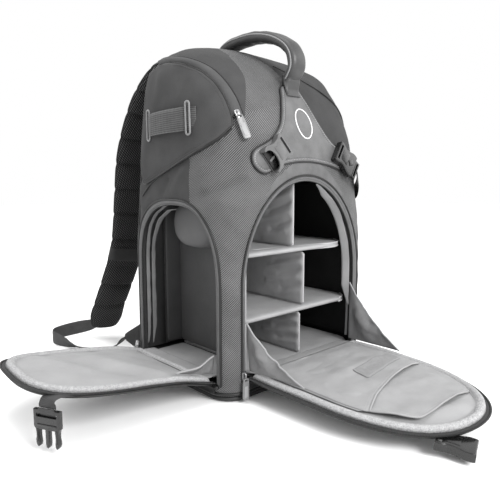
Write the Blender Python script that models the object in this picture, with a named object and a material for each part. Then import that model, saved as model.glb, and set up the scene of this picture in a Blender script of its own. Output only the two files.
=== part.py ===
"""Camera backpack, standing, with its front and side hatches folded open.

Frame: metres, +Z up, the front faces -Y and the bag's own camera hatch faces -X.
The origin is on the ground, under the middle of the body. Rest is the open pose:
each hatch lies on its gussets, and turns up about its bottom edge to close.
"""
import math

import bmesh
import bpy
import numpy as np
from mathutils import Matrix, Vector

# ---- driving dimensions ---------------------------------------------------------------
BODY_TOP = 0.484
SHELL_BOTTOM = 0.0068
BASE_THICK = 0.0065
WALL = 0.008
GAP = 0.0004

# body outline against height: (height, value)
FRONT_PROFILE = [(0, -0.110), (0.018, -0.118), (0.290, -0.118), (0.340, -0.111), (0.380, -0.098),
                 (0.420, -0.077), (0.450, -0.046), (0.470, -0.012), (BODY_TOP, 0.018)]
BACK_PROFILE = [(0, 0.104), (0.018, 0.110), (0.180, 0.110), (0.250, 0.102), (0.325, 0.091),
                (0.390, 0.079), (0.430, 0.071), (0.460, 0.058), (0.475, 0.050), (BODY_TOP, 0.040)]
WIDTH_PROFILE = [(0, 0.144), (0.018, 0.150), (0.400, 0.150), (0.430, 0.147), (0.452, 0.138),
                 (0.466, 0.118), (0.476, 0.080), (BODY_TOP, 0.020)]
FRONT_CORNER_PROFILE = [(0, 0.034), (0.140, 0.034), (0.300, 0.060), (0.380, 0.070), (BODY_TOP, 0.070)]
BACK_CORNER = 0.036
CORNER_STEPS = 6
LEVELS = [SHELL_BOTTOM, 0.012, 0.018, 0.070, 0.120, 0.150, 0.180, 0.205, 0.230, 0.255, 0.280, 0.295,
          0.310, 0.325, 0.340, 0.355, 0.370, 0.385, 0.400, 0.412, 0.424, 0.434, 0.443, 0.452, 0.460,
          0.467, 0.473, 0.478, 0.482, BODY_TOP]

# front hatch: an arch in the front face, hinged along its bottom edge
FRONT_Y = -0.118
FRONT_SILL = 0.027
FRONT_SPRING = 0.150
FRONT_CROWN = 0.289
FRONT_HALF = 0.117
FRONT_ROUND = 2.0
FRONT_TILT = -1.5
# camera hatch: an arch in the left side
SIDE_X = -0.150
SIDE_SILL = 0.022
SIDE_SPRING = 0.137
SIDE_CROWN = 0.256
SIDE_HALF = 0.092
SIDE_MID_Y = -0.004
SIDE_ROUND = 2.6
SIDE_TILT = 12.5
TAPE_WIDTH = 0.006
HATCH_PLAY = 0.0015
HATCH_EDGE = 0.0035
HATCH_SKIN = 0.004
HATCH_PAD = 0.006
LOWER_MOUTH = 0.243
UPPER_MOUTH = 0.157
UPPER_MOUTH_RISE = 0.037

# top panel and its zip, on the left side: (y measured flat round the corners, height)
ZIP_LINE = [(-0.110, 0.370), (-0.098, 0.392), (-0.080, 0.413), (-0.054, 0.432), (-0.022, 0.444),
            (0.010, 0.449)]
PANEL_ARC = [(-0.106, 0.356), (-0.102, 0.371), (-0.091, 0.391), (-0.074, 0.411), (-0.050, 0.427),
             (-0.020, 0.438), (0.012, 0.442)]
PANEL_BACK = [(0.044, 0.436), (0.052, 0.415), (0.060, 0.380), (0.066, 0.345), (0.069, 0.310), (0.060, 0.282)]
PANEL_SEAM = [(0.024, 0.294), (-0.024, 0.311), (-0.068, 0.326), (-0.092, 0.340)]
PANEL_CENTRE = (-0.010, 0.365)
PANEL_LOW = 0.0024
PANEL_HIGH = 0.0044
PANEL_HINGE = (-0.1525, 0.0, 0.3015)
TOP_OPENING = [(-0.030, 0.330), (-0.052, 0.352), (-0.050, 0.378), (-0.034, 0.402), (-0.008, 0.420),
               (0.026, 0.422), (0.032, 0.400), (0.042, 0.350), (0.046, 0.306), (0.012, 0.314)]

# zip sliders and pulls
FRONT_SLIDER = (-0.1216, -0.1202, 0.0360)
SIDE_SLIDER = (-0.1522, 0.0927, 0.0360)
SLIDER_LIFT = 0.0042
SLIDER_SIZE = (0.0075, 0.0110, 0.0030)
PULL_WIDTH = 0.0105
PULL_THICK = 0.0020
SIDE_PULL_LENGTH = 0.0290
TOP_PULL_LENGTH = 0.0320

# front patch and buckles: (across, height), and for a socket its turn in degrees
PATCH = [(-0.014, 0.4180), (0.014, 0.4180), (0.024, 0.400), (0.040, 0.366), (0.062, 0.341), (0.098, 0.330),
         (0.110, 0.312), (0.096, 0.298), (0.050, 0.309), (0.000, 0.314), (-0.050, 0.309), (-0.084, 0.297),
         (-0.102, 0.308), (-0.098, 0.326), (-0.066, 0.342), (-0.042, 0.364), (-0.026, 0.398)]
PATCH_CENTRE = (0.0, 0.336)
LEFT_SOCKET = (-0.066, 0.322, -52)
RIGHT_SOCKET = (0.076, 0.318, 52)
SOCKET_LIFT = 0.0085

# interior
MAIN_FLOOR = 0.022
MAIN_CEILING = 0.305
TOP_FLOOR = 0.315
PARTITION_X = -0.077
PARTITION_FLARE = 0.027
PARTITION_THICK = 0.006
INNER_FRONT_Y = -0.100
INNER_BACK_Y = 0.080
INNER_RIGHT_X = 0.134
PAD_THICK = 0.0078
PARTITION_FOOT = 0.0310
PARTITION_HEIGHT = 0.262
DIVIDER_THICK = 0.006
SHELF_HEIGHTS = {"shelf_lower": 0.094, "shelf_upper": 0.184}
SHELF_THICK = 0.009
# divider: (left face, foot, head)
DIVIDERS = {"divider_lower": (0.010, 0.0306, 0.0936),
            "divider_middle": (0.018, 0.1034, 0.1836),
            "divider_upper": (-0.006, 0.1934, 0.2880)}
LINING_FOOT = 0.0306
LINING_HEAD = 0.290
HOOD_MIDDLE = (0.006, 0.2255)
HOOD_HALF = (0.050, 0.0365)

# carrying
HANDLE_HALF_WIDTH = 0.015
HANDLE_HALF_THICK = 0.0085
HANDLE_LINE = [(-0.0845, 0.4290), (-0.0955, 0.446), (-0.088, 0.469), (-0.060, 0.4875), (-0.022, 0.4975),
               (0.014, 0.4985), (0.042, 0.4950), (0.0600, 0.4830), (0.0660, 0.4655)]
STRAP_HALF_WIDTH = 0.029
STRAP_THICK = 0.016
STRAP_LINE = [(-0.076, 0.074, 0.4620), (-0.082, 0.102, 0.4560), (-0.086, 0.150, 0.415), (-0.091, 0.186, 0.338),
              (-0.094, 0.199, 0.263), (-0.101, 0.206, 0.177), (-0.111, 0.229, 0.104), (-0.118, 0.262, 0.040)]
WEBBING_THICK = 0.0016
WEBBING_HALF_WIDTH = 0.0115
BUCKLE_HALF_DEEP = 0.0055
PLUG_HALF_DEEP = 0.0028
GUSSET_THICK = 0.0015
BACK_PAD = {"low": 0.152, "high": 0.416, "inner": 0.026, "outer": 0.106, "thick": 0.016}
LUMBAR_PAD = {"low": 0.040, "high": 0.136, "half": 0.108, "thick": 0.018}
PAD_ROLL = 0.016


# ---- small tools ----------------------------------------------------------------------
def clear_scene():
    for thing in list(bpy.data.objects):
        bpy.data.objects.remove(thing, do_unlink=True)


def material(name, colour, roughness, metallic=0.0):
    """A Principled material; colour is linear red, green, blue."""
    made = bpy.data.materials.new(name)
    made.use_nodes = True
    shader = made.node_tree.nodes["Principled BSDF"]
    shader.inputs["Base Color"].default_value = (*colour, 1.0)
    shader.inputs["Roughness"].default_value = roughness
    shader.inputs["Metallic"].default_value = metallic
    return made


FINISHES = {
    "shell": ((0.085, 0.085, 0.088), 0.85, 0.0),
    "lining": ((0.50, 0.50, 0.51), 0.90, 0.0),
    "divider": ((0.42, 0.42, 0.43), 0.90, 0.0),
    "dark": ((0.02, 0.02, 0.021), 0.85, 0.0),
    "patch": ((0.16, 0.16, 0.165), 0.70, 0.0),
    "webbing": ((0.06, 0.06, 0.062), 0.80, 0.0),
    "plastic": ((0.018, 0.018, 0.02), 0.35, 0.0),
    "grey_plastic": ((0.14, 0.14, 0.145), 0.45, 0.0),
    "metal": ((0.45, 0.45, 0.47), 0.28, 1.0),
    "board": ((0.30, 0.30, 0.31), 0.60, 0.0),
}


def profile(points):
    """A smooth function through (place, value) points that never overshoots them."""
    xs, ys = (np.array(column, dtype=float) for column in zip(*points))
    slopes = np.diff(ys) / np.diff(xs)
    tangents = np.zeros(len(xs))
    for i in range(1, len(xs) - 1):
        if slopes[i - 1] * slopes[i] > 0:
            tangents[i] = 2 * slopes[i - 1] * slopes[i] / (slopes[i - 1] + slopes[i])
    tangents[0], tangents[-1] = slopes[0], slopes[-1]

    def value(x):
        x = min(max(x, xs[0]), xs[-1])
        i = min(max(int(np.searchsorted(xs, x, side="right")) - 1, 0), len(xs) - 2)
        step = xs[i + 1] - xs[i]
        t = (x - xs[i]) / step
        ends = ys[i] * (1 + 2 * t) * (1 - t) ** 2 + ys[i + 1] * t * t * (3 - 2 * t)
        bend = tangents[i] * t * (1 - t) ** 2 + tangents[i + 1] * t * t * (t - 1)
        return float(ends + step * bend)

    return value


def smooth_path(points, steps):
    """Points along a Catmull-Rom curve through the given ones."""
    line = [Vector(p) for p in points]
    line = [2 * line[0] - line[1]] + line + [2 * line[-1] - line[-2]]
    out = []
    for i in range(1, len(line) - 2):
        a, b, c, d = line[i - 1:i + 3]
        for k in range(steps):
            t = k / steps
            out.append(0.5 * (2 * b + (c - a) * t + (2 * a - 5 * b + 4 * c - d) * t ** 2
                              + (3 * b - a - 3 * c + d) * t ** 3))
    return out + [line[-2]]


def build(name, verts, faces, finish, origin=(0, 0, 0)):
    """One named object whose faces point out, with its origin at the given point."""
    mesh = bpy.data.meshes.new(name)
    start = Vector(origin)
    mesh.from_pydata([tuple(Vector(v) - start) for v in verts], [], faces)
    work = bmesh.new()
    work.from_mesh(mesh)
    bmesh.ops.remove_doubles(work, verts=work.verts, dist=1e-6)
    bmesh.ops.recalc_face_normals(work, faces=work.faces)
    if work.calc_volume(signed=True) < 0:
        bmesh.ops.reverse_faces(work, faces=work.faces)
    work.to_mesh(mesh)
    work.free()
    mesh.shade_smooth()
    mesh.set_sharp_from_angle(angle=math.radians(35))
    thing = bpy.data.objects.new(name, mesh)
    bpy.context.scene.collection.objects.link(thing)
    thing.location = start
    mesh.materials.append(material(name + "_finish", *FINISHES[finish]))
    return thing


def loft(name, rings, finish, origin=(0, 0, 0), closed=False):
    """A skin over rings of equal length, capped at both ends unless it closes on itself."""
    count = len(rings[0])
    verts = [point for ring in rings for point in ring]
    faces = []
    last = len(rings) if closed else len(rings) - 1
    for r in range(last):
        low, high = r * count, (r + 1) % len(rings) * count
        for k in range(count):
            n = (k + 1) % count
            faces.append((low + k, low + n, high + n, high + k))
    if not closed:
        faces.append(tuple(range(count)))
        faces.append(tuple(range(len(verts) - count, len(verts))))
    return build(name, verts, faces, finish, origin)


def prism(name, outline, direction, finish, origin=(0, 0, 0)):
    """A flat outline extruded along a direction."""
    push = Vector(direction)
    rings = [[Vector(p) for p in outline], [Vector(p) + push for p in outline]]
    return loft(name, rings, finish, origin)


def cut(target, *cutters):
    """Subtract each cutter from the target and remove it."""
    for cutter in cutters:
        step = target.modifiers.new("cut", "BOOLEAN")
        step.operation = "DIFFERENCE"
        step.solver = "EXACT"
        step.object = cutter
        bpy.context.view_layer.objects.active = target
        bpy.ops.object.modifier_apply(modifier=step.name)
        bpy.data.objects.remove(cutter, do_unlink=True)


def strip(name, path, half_width, thick, across, finish, origin=(0, 0, 0)):
    """A flat band along a path; across gives its width direction at each point."""
    rings = []
    for i, point in enumerate(path):
        ahead = path[min(i + 1, len(path) - 1)] - path[max(i - 1, 0)]
        side = Vector(across[i]) if isinstance(across, list) else Vector(across)
        side = (side - ahead.normalized() * side.dot(ahead.normalized())).normalized()
        up = ahead.normalized().cross(side).normalized()
        rings.append([point + side * a * half_width + up * b * thick / 2
                      for a, b in ((-1, -1), (1, -1), (1, 1), (-1, 1))])
    return loft(name, rings, finish, origin)


# ---- body form ------------------------------------------------------------------------
front_y = profile(FRONT_PROFILE)
back_y = profile(BACK_PROFILE)
half_width = profile(WIDTH_PROFILE)
front_corner = profile(FRONT_CORNER_PROFILE)


def limits(z, inset=0.0):
    """Half-width, front, back and the two corner radii at height z."""
    w = half_width(z) - inset
    y0 = front_y(z) + inset
    y1 = back_y(z) - inset
    most = 0.48 * (y1 - y0)
    return w, y0, y1, min(front_corner(z) - inset, most, 0.9 * w), min(BACK_CORNER - inset, most, 0.9 * w)


def section(z, inset=0.0, height=None):
    """The body's outline at height z, anticlockwise from above."""
    w, y0, y1, rf, rb = limits(z, inset)
    corners = [(w - rb, y1 - rb, rb, 0), (rb - w, y1 - rb, rb, 90),
               (rf - w, y0 + rf, rf, 180), (w - rf, y0 + rf, rf, 270)]
    out = []
    for cx, cy, r, start in corners:
        for k in range(CORNER_STEPS + 1):
            a = math.radians(start + 90 * k / CORNER_STEPS)
            out.append((cx + r * math.cos(a), cy + r * math.sin(a), z if height is None else height))
    return out


def on_side(y, z, lift, sign=-1):
    """A point on the left (sign -1) or right skin; y is measured flat round the corners."""
    w, y0, y1, rf, rb = limits(z)
    round_front = y0 + rf - y
    round_back = y - (y1 - rb)
    if round_front > 0:
        a = min(round_front / rf, math.pi / 2)
        run = max(round_front - rf * math.pi / 2, 0)
        x = w - rf + (rf + lift) * math.cos(a) - run
        return Vector((sign * x, y0 + rf - (rf + lift) * math.sin(a), z))
    if round_back > 0:
        a = min(round_back / rb, math.pi / 2)
        run = max(round_back - rb * math.pi / 2, 0)
        x = w - rb + (rb + lift) * math.cos(a) - run
        return Vector((sign * x, y1 - rb + (rb + lift) * math.sin(a), z))
    return Vector((sign * (w + lift), y, z))


def on_front(x, z, lift):
    """A point on the front skin."""
    w, y0, _, rf, _ = limits(z)
    over = min(max(abs(x) - (w - rf), 0), 0.98 * rf)
    fall = rf - math.sqrt(rf * rf - over * over)
    slope = (front_y(z + 0.002) - front_y(z - 0.002)) / 0.004
    tip = 1 / math.sqrt(1 + slope * slope)
    return Vector((x, y0 + fall - lift * tip, z + lift * tip * slope))


def on_back(x, z, lift):
    """A point on the back skin."""
    w, _, y1, _, rb = limits(z)
    over = min(max(abs(x) - (w - rb), 0), 0.98 * rb)
    return Vector((x, y1 - rb + math.sqrt(rb * rb - over * over) + lift, z))


def arch(half, sill, spring, crown, power, steps=11):
    """An arch outline as (across, up): upright sides with a rounded head."""
    out = [(-half, sill), (-half, (sill + spring) / 2)]
    for k in range(2 * steps + 1):
        a = math.pi * (1 - k / (2 * steps))
        c, s = math.cos(a), math.sin(a)
        across = math.copysign(abs(c) ** (2 / power), c) * half
        out.append((across, spring + (crown - spring) * abs(s) ** (2 / power)))
    return out + [(half, (sill + spring) / 2), (half, sill)]


def front_arch(grow=0.0, sill=0.0):
    return arch(FRONT_HALF + grow, FRONT_SILL + sill, FRONT_SPRING, FRONT_CROWN + grow, FRONT_ROUND)


def side_arch(grow=0.0, sill=0.0):
    outline = arch(SIDE_HALF + grow, SIDE_SILL + sill, SIDE_SPRING, SIDE_CROWN + grow, SIDE_ROUND)
    return [(SIDE_MID_Y + y, z) for y, z in outline]


def ribbon(name, inner, outer, place, low, high, finish):
    """A tape on the skin between two outlines, from lift low to lift high."""
    rings = []
    for (a, b), (c, d) in zip(inner, outer):
        rings.append([place(a, b, low), place(c, d, low), place(c, d, high), place(a, b, high)])
    return loft(name, rings, finish)


def skin_patch(name, outline, centre, place, low, high, finish, rings=5, origin=(0, 0, 0)):
    """A sheet on the skin: the outline and smaller copies of it, down to its centre."""
    count = len(outline)
    verts, faces = [], []
    for lift in (low, high):
        for r in range(rings):
            share = 1 - r / rings
            for a, b in outline:
                verts.append(place(centre[0] + (a - centre[0]) * share, centre[1] + (b - centre[1]) * share, lift))
        verts.append(place(*centre, lift))
    half = rings * count + 1
    for side in (0, half):
        for r in range(rings - 1):
            for k in range(count):
                n = (k + 1) % count
                a, b = side + r * count, side + (r + 1) * count
                faces.append((a + k, a + n, b + n, b + k))
        inner = side + (rings - 1) * count
        for k in range(count):
            faces.append((inner + k, inner + (k + 1) % count, side + half - 1))
    for k in range(count):
        n = (k + 1) % count
        faces.append((k, n, half + n, half + k))
    return build(name, verts, faces, finish, origin)


# ---- body -----------------------------------------------------------------------------
def make_body():
    shell = loft("body_shell", [section(z) for z in LEVELS], "shell")
    main_levels = [MAIN_FLOOR, 0.090, 0.150, 0.180, 0.210, 0.240, 0.270, 0.290, MAIN_CEILING]
    main = loft("main_cavity", [section(z, WALL) for z in main_levels], "dark")
    top_levels = [TOP_FLOOR, 0.340, 0.380, 0.420, 0.440, 0.452, 0.462]
    top = loft("top_cavity", [section(z, WALL) for z in top_levels], "dark")
    front = prism("front_cut", [(x, -0.140, z) for x, z in front_arch(TAPE_WIDTH)], (0, 0.036, 0), "dark")
    side = prism("side_cut", [(-0.175, y, z) for y, z in side_arch(TAPE_WIDTH)], (0.040, 0, 0), "dark")
    hatch = [(-0.172, y, z) for y, z in TOP_OPENING]
    panel = prism("panel_cut", hatch, (0.040, 0, 0), "dark")
    cut(shell, main, top, front, side, panel)
    inset = section(0.018, 0.003)
    prism("base_panel", [(x, y, 0.0) for x, y, _ in inset], (0, 0, BASE_THICK), "dark")


def partition_x(y):
    """The padded wall between the camera cell and the lens cells: it flares left at its front."""
    t = min(max((-0.036 - y) / 0.066, 0), 1)
    return PARTITION_X - PARTITION_FLARE * t * t * (3 - 2 * t)


def partition_line(back, front):
    """The partition's middle line in plan, from back to front."""
    flare = [-0.030, -0.041, -0.052, -0.063, -0.074, -0.085, -0.095]
    return [(partition_x(y), y) for y in [back, 0.0] + flare + [front]]


def cell_outline(front, back, right, clearance, corner):
    """The lens side's plan, from the partition to the right, with a rounded front right corner."""
    out = [(x + PARTITION_THICK / 2 + clearance, y) for x, y in partition_line(back, front)]
    for k in range(5):
        a = math.radians(-90 + 90 * k / 4)
        out.append((right - corner + corner * math.cos(a), front + corner + corner * math.sin(a)))
    out.append((right, back))
    return out


def make_interior():
    front, back, right = INNER_FRONT_Y, INNER_BACK_Y, INNER_RIGHT_X
    half = PARTITION_THICK / 2
    line = partition_line(back, -0.104)
    wall = [(x - half, y, PARTITION_FOOT) for x, y in line]
    wall += [(x + half, y, PARTITION_FOOT) for x, y in reversed(line)]
    prism("cell_partition", wall, (0, 0, PARTITION_HEIGHT), "divider")
    floor = cell_outline(-0.106, back, right, GAP, 0.030)
    prism("compartment_floor", [(x, y, MAIN_FLOOR + GAP) for x, y in floor], (0, 0, PAD_THICK), "lining")
    for name, z in SHELF_HEIGHTS.items():
        plan = cell_outline(front, back, right, GAP, 0.052 if name == "shelf_upper" else 0.030)
        prism(name, [(x, y, z) for x, y in plan], (0, 0, SHELF_THICK), "divider")
    for name, (x, low, high) in DIVIDERS.items():
        y0, y1 = front + 0.003, back
        box = [(x, y0, low), (x + DIVIDER_THICK, y0, low), (x + DIVIDER_THICK, y1, low), (x, y1, low)]
        prism(name, box, (0, 0, high - low), "divider")
    lean_back("lining_back", 0.0806, 0.0036, "lining")
    lean_back("back_frame_sheet", 0.0850, 0.0016, "board")
    make_side_lining()
    pad = [(x - half - GAP, y) for x, y in partition_line(0.070, -0.090)[:-2]]
    pad += [(-0.1365, -0.078), (-0.1380, -0.066), (-0.1380, 0.060), (-0.132, 0.070)]
    prism("camera_cell_base_pad", [(x, y, MAIN_FLOOR + GAP) for x, y in pad], (0, 0, PAD_THICK), "lining")
    make_hood()


def make_side_lining():
    """The padded sheet down the right wall; its front edge follows the rounded corner."""
    rings = []
    for k in range(11):
        z = 0.031 + 0.255 * k / 10
        ys = [-0.104 + 0.164 * j / 7 for j in range(8)]
        outer = [on_side(y, z, -WALL - 0.0008, 1) for y in ys]
        inner = [on_side(y, z, -WALL - 0.0058, 1) for y in reversed(ys)]
        rings.append(outer + inner)
    loft("lining_right", rings, "lining")


def lean_back(name, y, thick, finish):
    """A flat sheet that stands against the cavity's back wall."""
    half = 0.104
    corners = [(x, y + d, LINING_FOOT) for x, d in ((-half, 0), (half, 0), (half, thick), (-half, thick))]
    prism(name, corners, (0, 0, LINING_HEAD - LINING_FOOT), finish)


def make_hood():
    """The padded brow over the camera, on the partition."""
    rings = []
    for share, reach in ((1.0, 0.0), (1.0, 0.018), (0.93, 0.030), (0.62, 0.037)):
        ring = []
        for k in range(20):
            a = 2 * math.pi * k / 20
            y = HOOD_MIDDLE[0] + HOOD_HALF[0] * share * math.copysign(abs(math.cos(a)) ** 0.8, math.cos(a))
            z = HOOD_MIDDLE[1] + HOOD_HALF[1] * share * math.copysign(abs(math.sin(a)) ** 0.8, math.sin(a))
            ring.append((partition_x(y) - PARTITION_THICK / 2 - GAP - reach, y, z))
        rings.append(ring)
    loft("camera_cell_hood", rings, "shell")


# ---- hatches --------------------------------------------------------------------------
def front_swing(point):
    """Turn a point of the closed front hatch out to its open place."""
    turn = Matrix.Rotation(math.radians(90 - FRONT_TILT), 4, "X")
    hinge = Vector((0, FRONT_Y, FRONT_SILL))
    return hinge + turn @ (Vector(point) - hinge)


def side_swing(point):
    """Turn a point of the closed camera hatch out to its open place."""
    turn = Matrix.Rotation(-math.radians(90 - SIDE_TILT), 4, "Y")
    hinge = Vector((SIDE_X, 0, SIDE_SILL))
    return hinge + turn @ (Vector(point) - hinge)


def hatch_layer(name, outline, depth0, depth1, place, swing, finish, hinge):
    """One layer of a hatch, between two depths behind its outer face."""
    rings = [[swing(place(a, b, depth)) for a, b in outline] for depth in (depth0, depth1)]
    return loft(name, rings, finish, hinge)


def front_place(x, z, depth):
    return (x, FRONT_Y + depth, z)


def side_place(y, z, depth):
    return (SIDE_X + depth, y, z)


def rim(name, outer, inner, depth0, depth1, place, swing, finish, hinge):
    """The zip tape that runs round a hatch's edge."""
    rings = []
    for (a, b), (c, d) in zip(outer, inner):
        rings.append([swing(place(a, b, depth0)), swing(place(c, d, depth0)),
                      swing(place(c, d, depth1)), swing(place(a, b, depth1))])
    return loft(name, rings, finish, hinge)


def pocket_outline(mouth, grow):
    """A pouch on the front hatch: its mouth, then the hatch's edge below it."""
    out = [(x, min(z, mouth(x))) for x, z in front_arch(grow, 0.004)]
    kept = []
    for point in out:
        if not kept or (Vector(point) - Vector(kept[-1])).length > 0.002:
            kept.append(point)
    return kept


def make_front_hatch():
    hinge = (0, FRONT_Y, FRONT_SILL)
    args = (front_place, front_swing)
    body = front_arch(-HATCH_PLAY - HATCH_EDGE - GAP, 0.0015)
    edge = front_arch(-HATCH_PLAY, 0.0015)
    edge_in = front_arch(-HATCH_PLAY - HATCH_EDGE, 0.0015)
    pad = front_arch(-0.011, 0.006)
    hatch_layer("front_flap_shell", body, 0.0, HATCH_SKIN, *args, "shell", hinge)
    hatch_layer("front_flap_lining", pad, HATCH_SKIN + GAP, HATCH_SKIN + HATCH_PAD, *args, "lining", hinge)
    rim("front_flap_zip_edge", edge, edge_in, 0.0, 0.003, *args, "webbing", hinge)
    top = HATCH_SKIN + HATCH_PAD + GAP
    low = pocket_outline(lambda x: LOWER_MOUTH, -0.014)
    high = pocket_outline(lambda x: UPPER_MOUTH + UPPER_MOUTH_RISE * ((0.1 - x) / 0.18) ** 2, -0.020)
    hatch_layer("front_flap_pocket_lower", low, top, top + 0.002, *args, "lining", hinge)
    hatch_layer("front_flap_pocket_upper", high, top + 0.0024, top + 0.0044, *args, "lining", hinge)
    strip_z = [(-0.012, 0.120), (0.089, 0.108), (0.084, 0.134), (-0.018, 0.149)]
    hatch_layer("front_flap_loop_strip", strip_z, top + 0.0048, top + 0.0060, *args, "lining", hinge)


def make_side_hatch():
    hinge = (SIDE_X, SIDE_MID_Y, SIDE_SILL)
    args = (side_place, side_swing)
    body = side_arch(-HATCH_PLAY - HATCH_EDGE - GAP, 0.0015)
    edge = side_arch(-HATCH_PLAY, 0.0015)
    edge_in = side_arch(-HATCH_PLAY - HATCH_EDGE, 0.0015)
    pad = side_arch(-0.011, 0.006)
    hatch_layer("side_flap_shell", body, 0.0, HATCH_SKIN, *args, "shell", hinge)
    hatch_layer("side_flap_lining", pad, HATCH_SKIN + GAP, HATCH_SKIN + HATCH_PAD, *args, "lining", hinge)
    rim("side_flap_zip_edge", edge, edge_in, 0.0, 0.003, *args, "webbing", hinge)


# ---- zips -----------------------------------------------------------------------------
def make_zips():
    ribbon("front_zip_tape", front_arch(), front_arch(TAPE_WIDTH - GAP), front_tape_place, -0.0030, -0.0005,
           "webbing")
    ribbon("side_zip_tape", side_arch(), side_arch(TAPE_WIDTH - GAP), side_tape_place, -0.0030, -0.0005,
           "webbing")
    path = [Vector((0, a, b)) for a, b in ZIP_LINE]
    line = smooth_path(path, 4)
    inner, outer = [], []
    for i, point in enumerate(line):
        ahead = (line[min(i + 1, len(line) - 1)] - line[max(i - 1, 0)]).normalized()
        side = Vector((0, -ahead.z, ahead.y))
        inner.append((point.y - side.y * 0.0035, point.z - side.z * 0.0035))
        outer.append((point.y + side.y * 0.0035, point.z + side.z * 0.0035))
    ribbon("top_zip_tape", inner, outer, on_side, GAP, 0.0018, "webbing")


def front_tape_place(x, z, lift):
    """The front opening's tape lies in the wall, level with the skin."""
    point = on_front(x, z, 0.0)
    return Vector((x, min(point.y, FRONT_Y + 0.004) - lift, z))


def side_tape_place(y, z, lift):
    """The camera opening's tape lies in the wall, level with the skin."""
    return Vector((on_side(y, z, 0.0).x - lift, y, z))


def make_panel():
    outline = PANEL_ARC + PANEL_BACK + PANEL_SEAM
    skin_patch("top_panel", outline, PANEL_CENTRE, on_side, PANEL_LOW, PANEL_HIGH, "shell", 5, PANEL_HINGE)


def rounded_slab(name, frame, size, radius, finish, origin=None, steps=3):
    """A slab with rounded ends in its own plane; frame is a matrix to world."""
    w, h, d = (v / 2 for v in size)
    r = min(radius, w * 0.98, h * 0.98)
    outline = []
    for cx, cy, start in ((w - r, h - r, 0), (r - w, h - r, 90), (r - w, r - h, 180), (w - r, r - h, 270)):
        for k in range(steps + 1):
            a = math.radians(start + 90 * k / steps)
            outline.append((cx + r * math.cos(a), cy + r * math.sin(a)))
    rings = [[frame @ Vector((x, y, z)) for x, y in outline] for z in (-d, d)]
    return loft(name, rings, finish, origin or tuple(frame.translation))


def facing(place, across, up):
    """A frame at a place whose x runs across and whose y runs up."""
    x = Vector(across).normalized()
    y = (Vector(up) - x * x.dot(Vector(up))).normalized()
    z = x.cross(y)
    turn = Matrix((x, y, z)).transposed().to_4x4()
    turn.translation = Vector(place)
    return turn


def make_slider(prefix, place, outward, up, pull_length, pull_lean=0.0):
    """A zip slider and the pull that hangs on it."""
    out = Vector(outward).normalized()
    up = Vector(up).normalized()
    across = up.cross(out)
    body = facing(place, across, up)
    rounded_slab(prefix + "_zip_slider", body, SLIDER_SIZE, 0.003, "metal")
    pivot = Vector(place) - up * 0.0030 + out * 0.0030
    drop = (Matrix.Rotation(pull_lean, 3, across) @ -up).normalized()
    centre = pivot + drop * (pull_length / 2)
    tag = facing(centre, across, drop)
    rounded_slab(prefix + "_zip_pull", tag, (PULL_WIDTH, pull_length, PULL_THICK), 0.002, "grey_plastic", tuple(pivot))


def make_sliders():
    make_slider("front", FRONT_SLIDER, (0, -1, 0), (0, 0, 1), SIDE_PULL_LENGTH)
    make_slider("side", SIDE_SLIDER, (-1, 0, 0), (0, 0, 1), SIDE_PULL_LENGTH)
    start = on_side(*ZIP_LINE[0], SLIDER_LIFT)
    outward = start - on_side(*ZIP_LINE[0], 0.0)
    ahead = on_side(*ZIP_LINE[1], SLIDER_LIFT) - start
    make_slider("top", tuple(start), outward, ahead, TOP_PULL_LENGTH, 0.06)


# ---- outer fittings -------------------------------------------------------------------
def make_patch():
    ring = smooth_path([(a, b, 0) for a, b in PATCH + PATCH[:1]], 2)
    outline = [(p.x, p.y) for p in ring[:-1]]
    skin_patch("front_patch", outline, PATCH_CENTRE, on_front, 0.0010, 0.0024, "patch", 6)


def socket(name, frame, finish, origin=None):
    """The female half of a side-release buckle; its mouth faces along the frame's -y."""
    half = [(0.0185, -0.021), (0.0185, -0.008), (0.0140, 0.000), (0.0140, 0.008), (0.0170, 0.013), (0.0170, 0.021)]
    outline = half + [(-x, y) for x, y in reversed(half)]
    deep = BUCKLE_HALF_DEEP
    rings = [[frame @ Vector((x * k, y, z)) for x, y in outline]
             for k, z in ((0.86, -deep), (1.0, -deep * 0.4), (1.0, deep * 0.4), (0.86, deep))]
    made = loft(name, rings, finish, origin or tuple(frame.translation))
    mouth = [(-0.0150, -0.030), (0.0150, -0.030), (0.0150, -0.007), (0.0105, 0.004), (-0.0105, 0.004),
             (-0.0150, -0.007)]
    rings = [[frame @ Vector((x, y, z)) for x, y in mouth] for z in (-0.0034, 0.0034)]
    inside = loft("mouth", rings, finish)
    slot = [(-0.0125, 0.0140), (0.0125, 0.0140), (0.0125, 0.0175), (-0.0125, 0.0175)]
    rings = [[frame @ Vector((x, y, z)) for x, y in slot] for z in (-0.012, 0.012)]
    bar = loft("slot", rings, finish)
    cut(made, inside, bar)


def plug(name, frame, finish, origin):
    """The male half: a webbing bar, two sprung prongs and a guide; prongs point along -y."""
    right = [(0.0168, 0.016), (0.0168, -0.004), (0.0142, -0.006), (0.0138, -0.014), (0.0145, -0.0165),
             (0.0145, -0.022), (0.0120, -0.0265), (0.0095, -0.0225), (0.0098, -0.006)]
    guide = [(0.0022, -0.006), (0.0022, -0.024), (0.0012, -0.0265)]
    half = right + guide
    outline = half + [(-x, y) for x, y in reversed(half)]
    rings = [[frame @ Vector((x, y, z)) for x, y in outline] for z in (-PLUG_HALF_DEEP, PLUG_HALF_DEEP)]
    made = loft(name, rings, finish, origin)
    slot = [(-0.0130, 0.0070), (0.0130, 0.0070), (0.0130, 0.0115), (-0.0130, 0.0115)]
    rings = [[frame @ Vector((x, y, z)) for x, y in slot] for z in (-0.01, 0.01)]
    cut(made, loft("slot", rings, finish))


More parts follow.
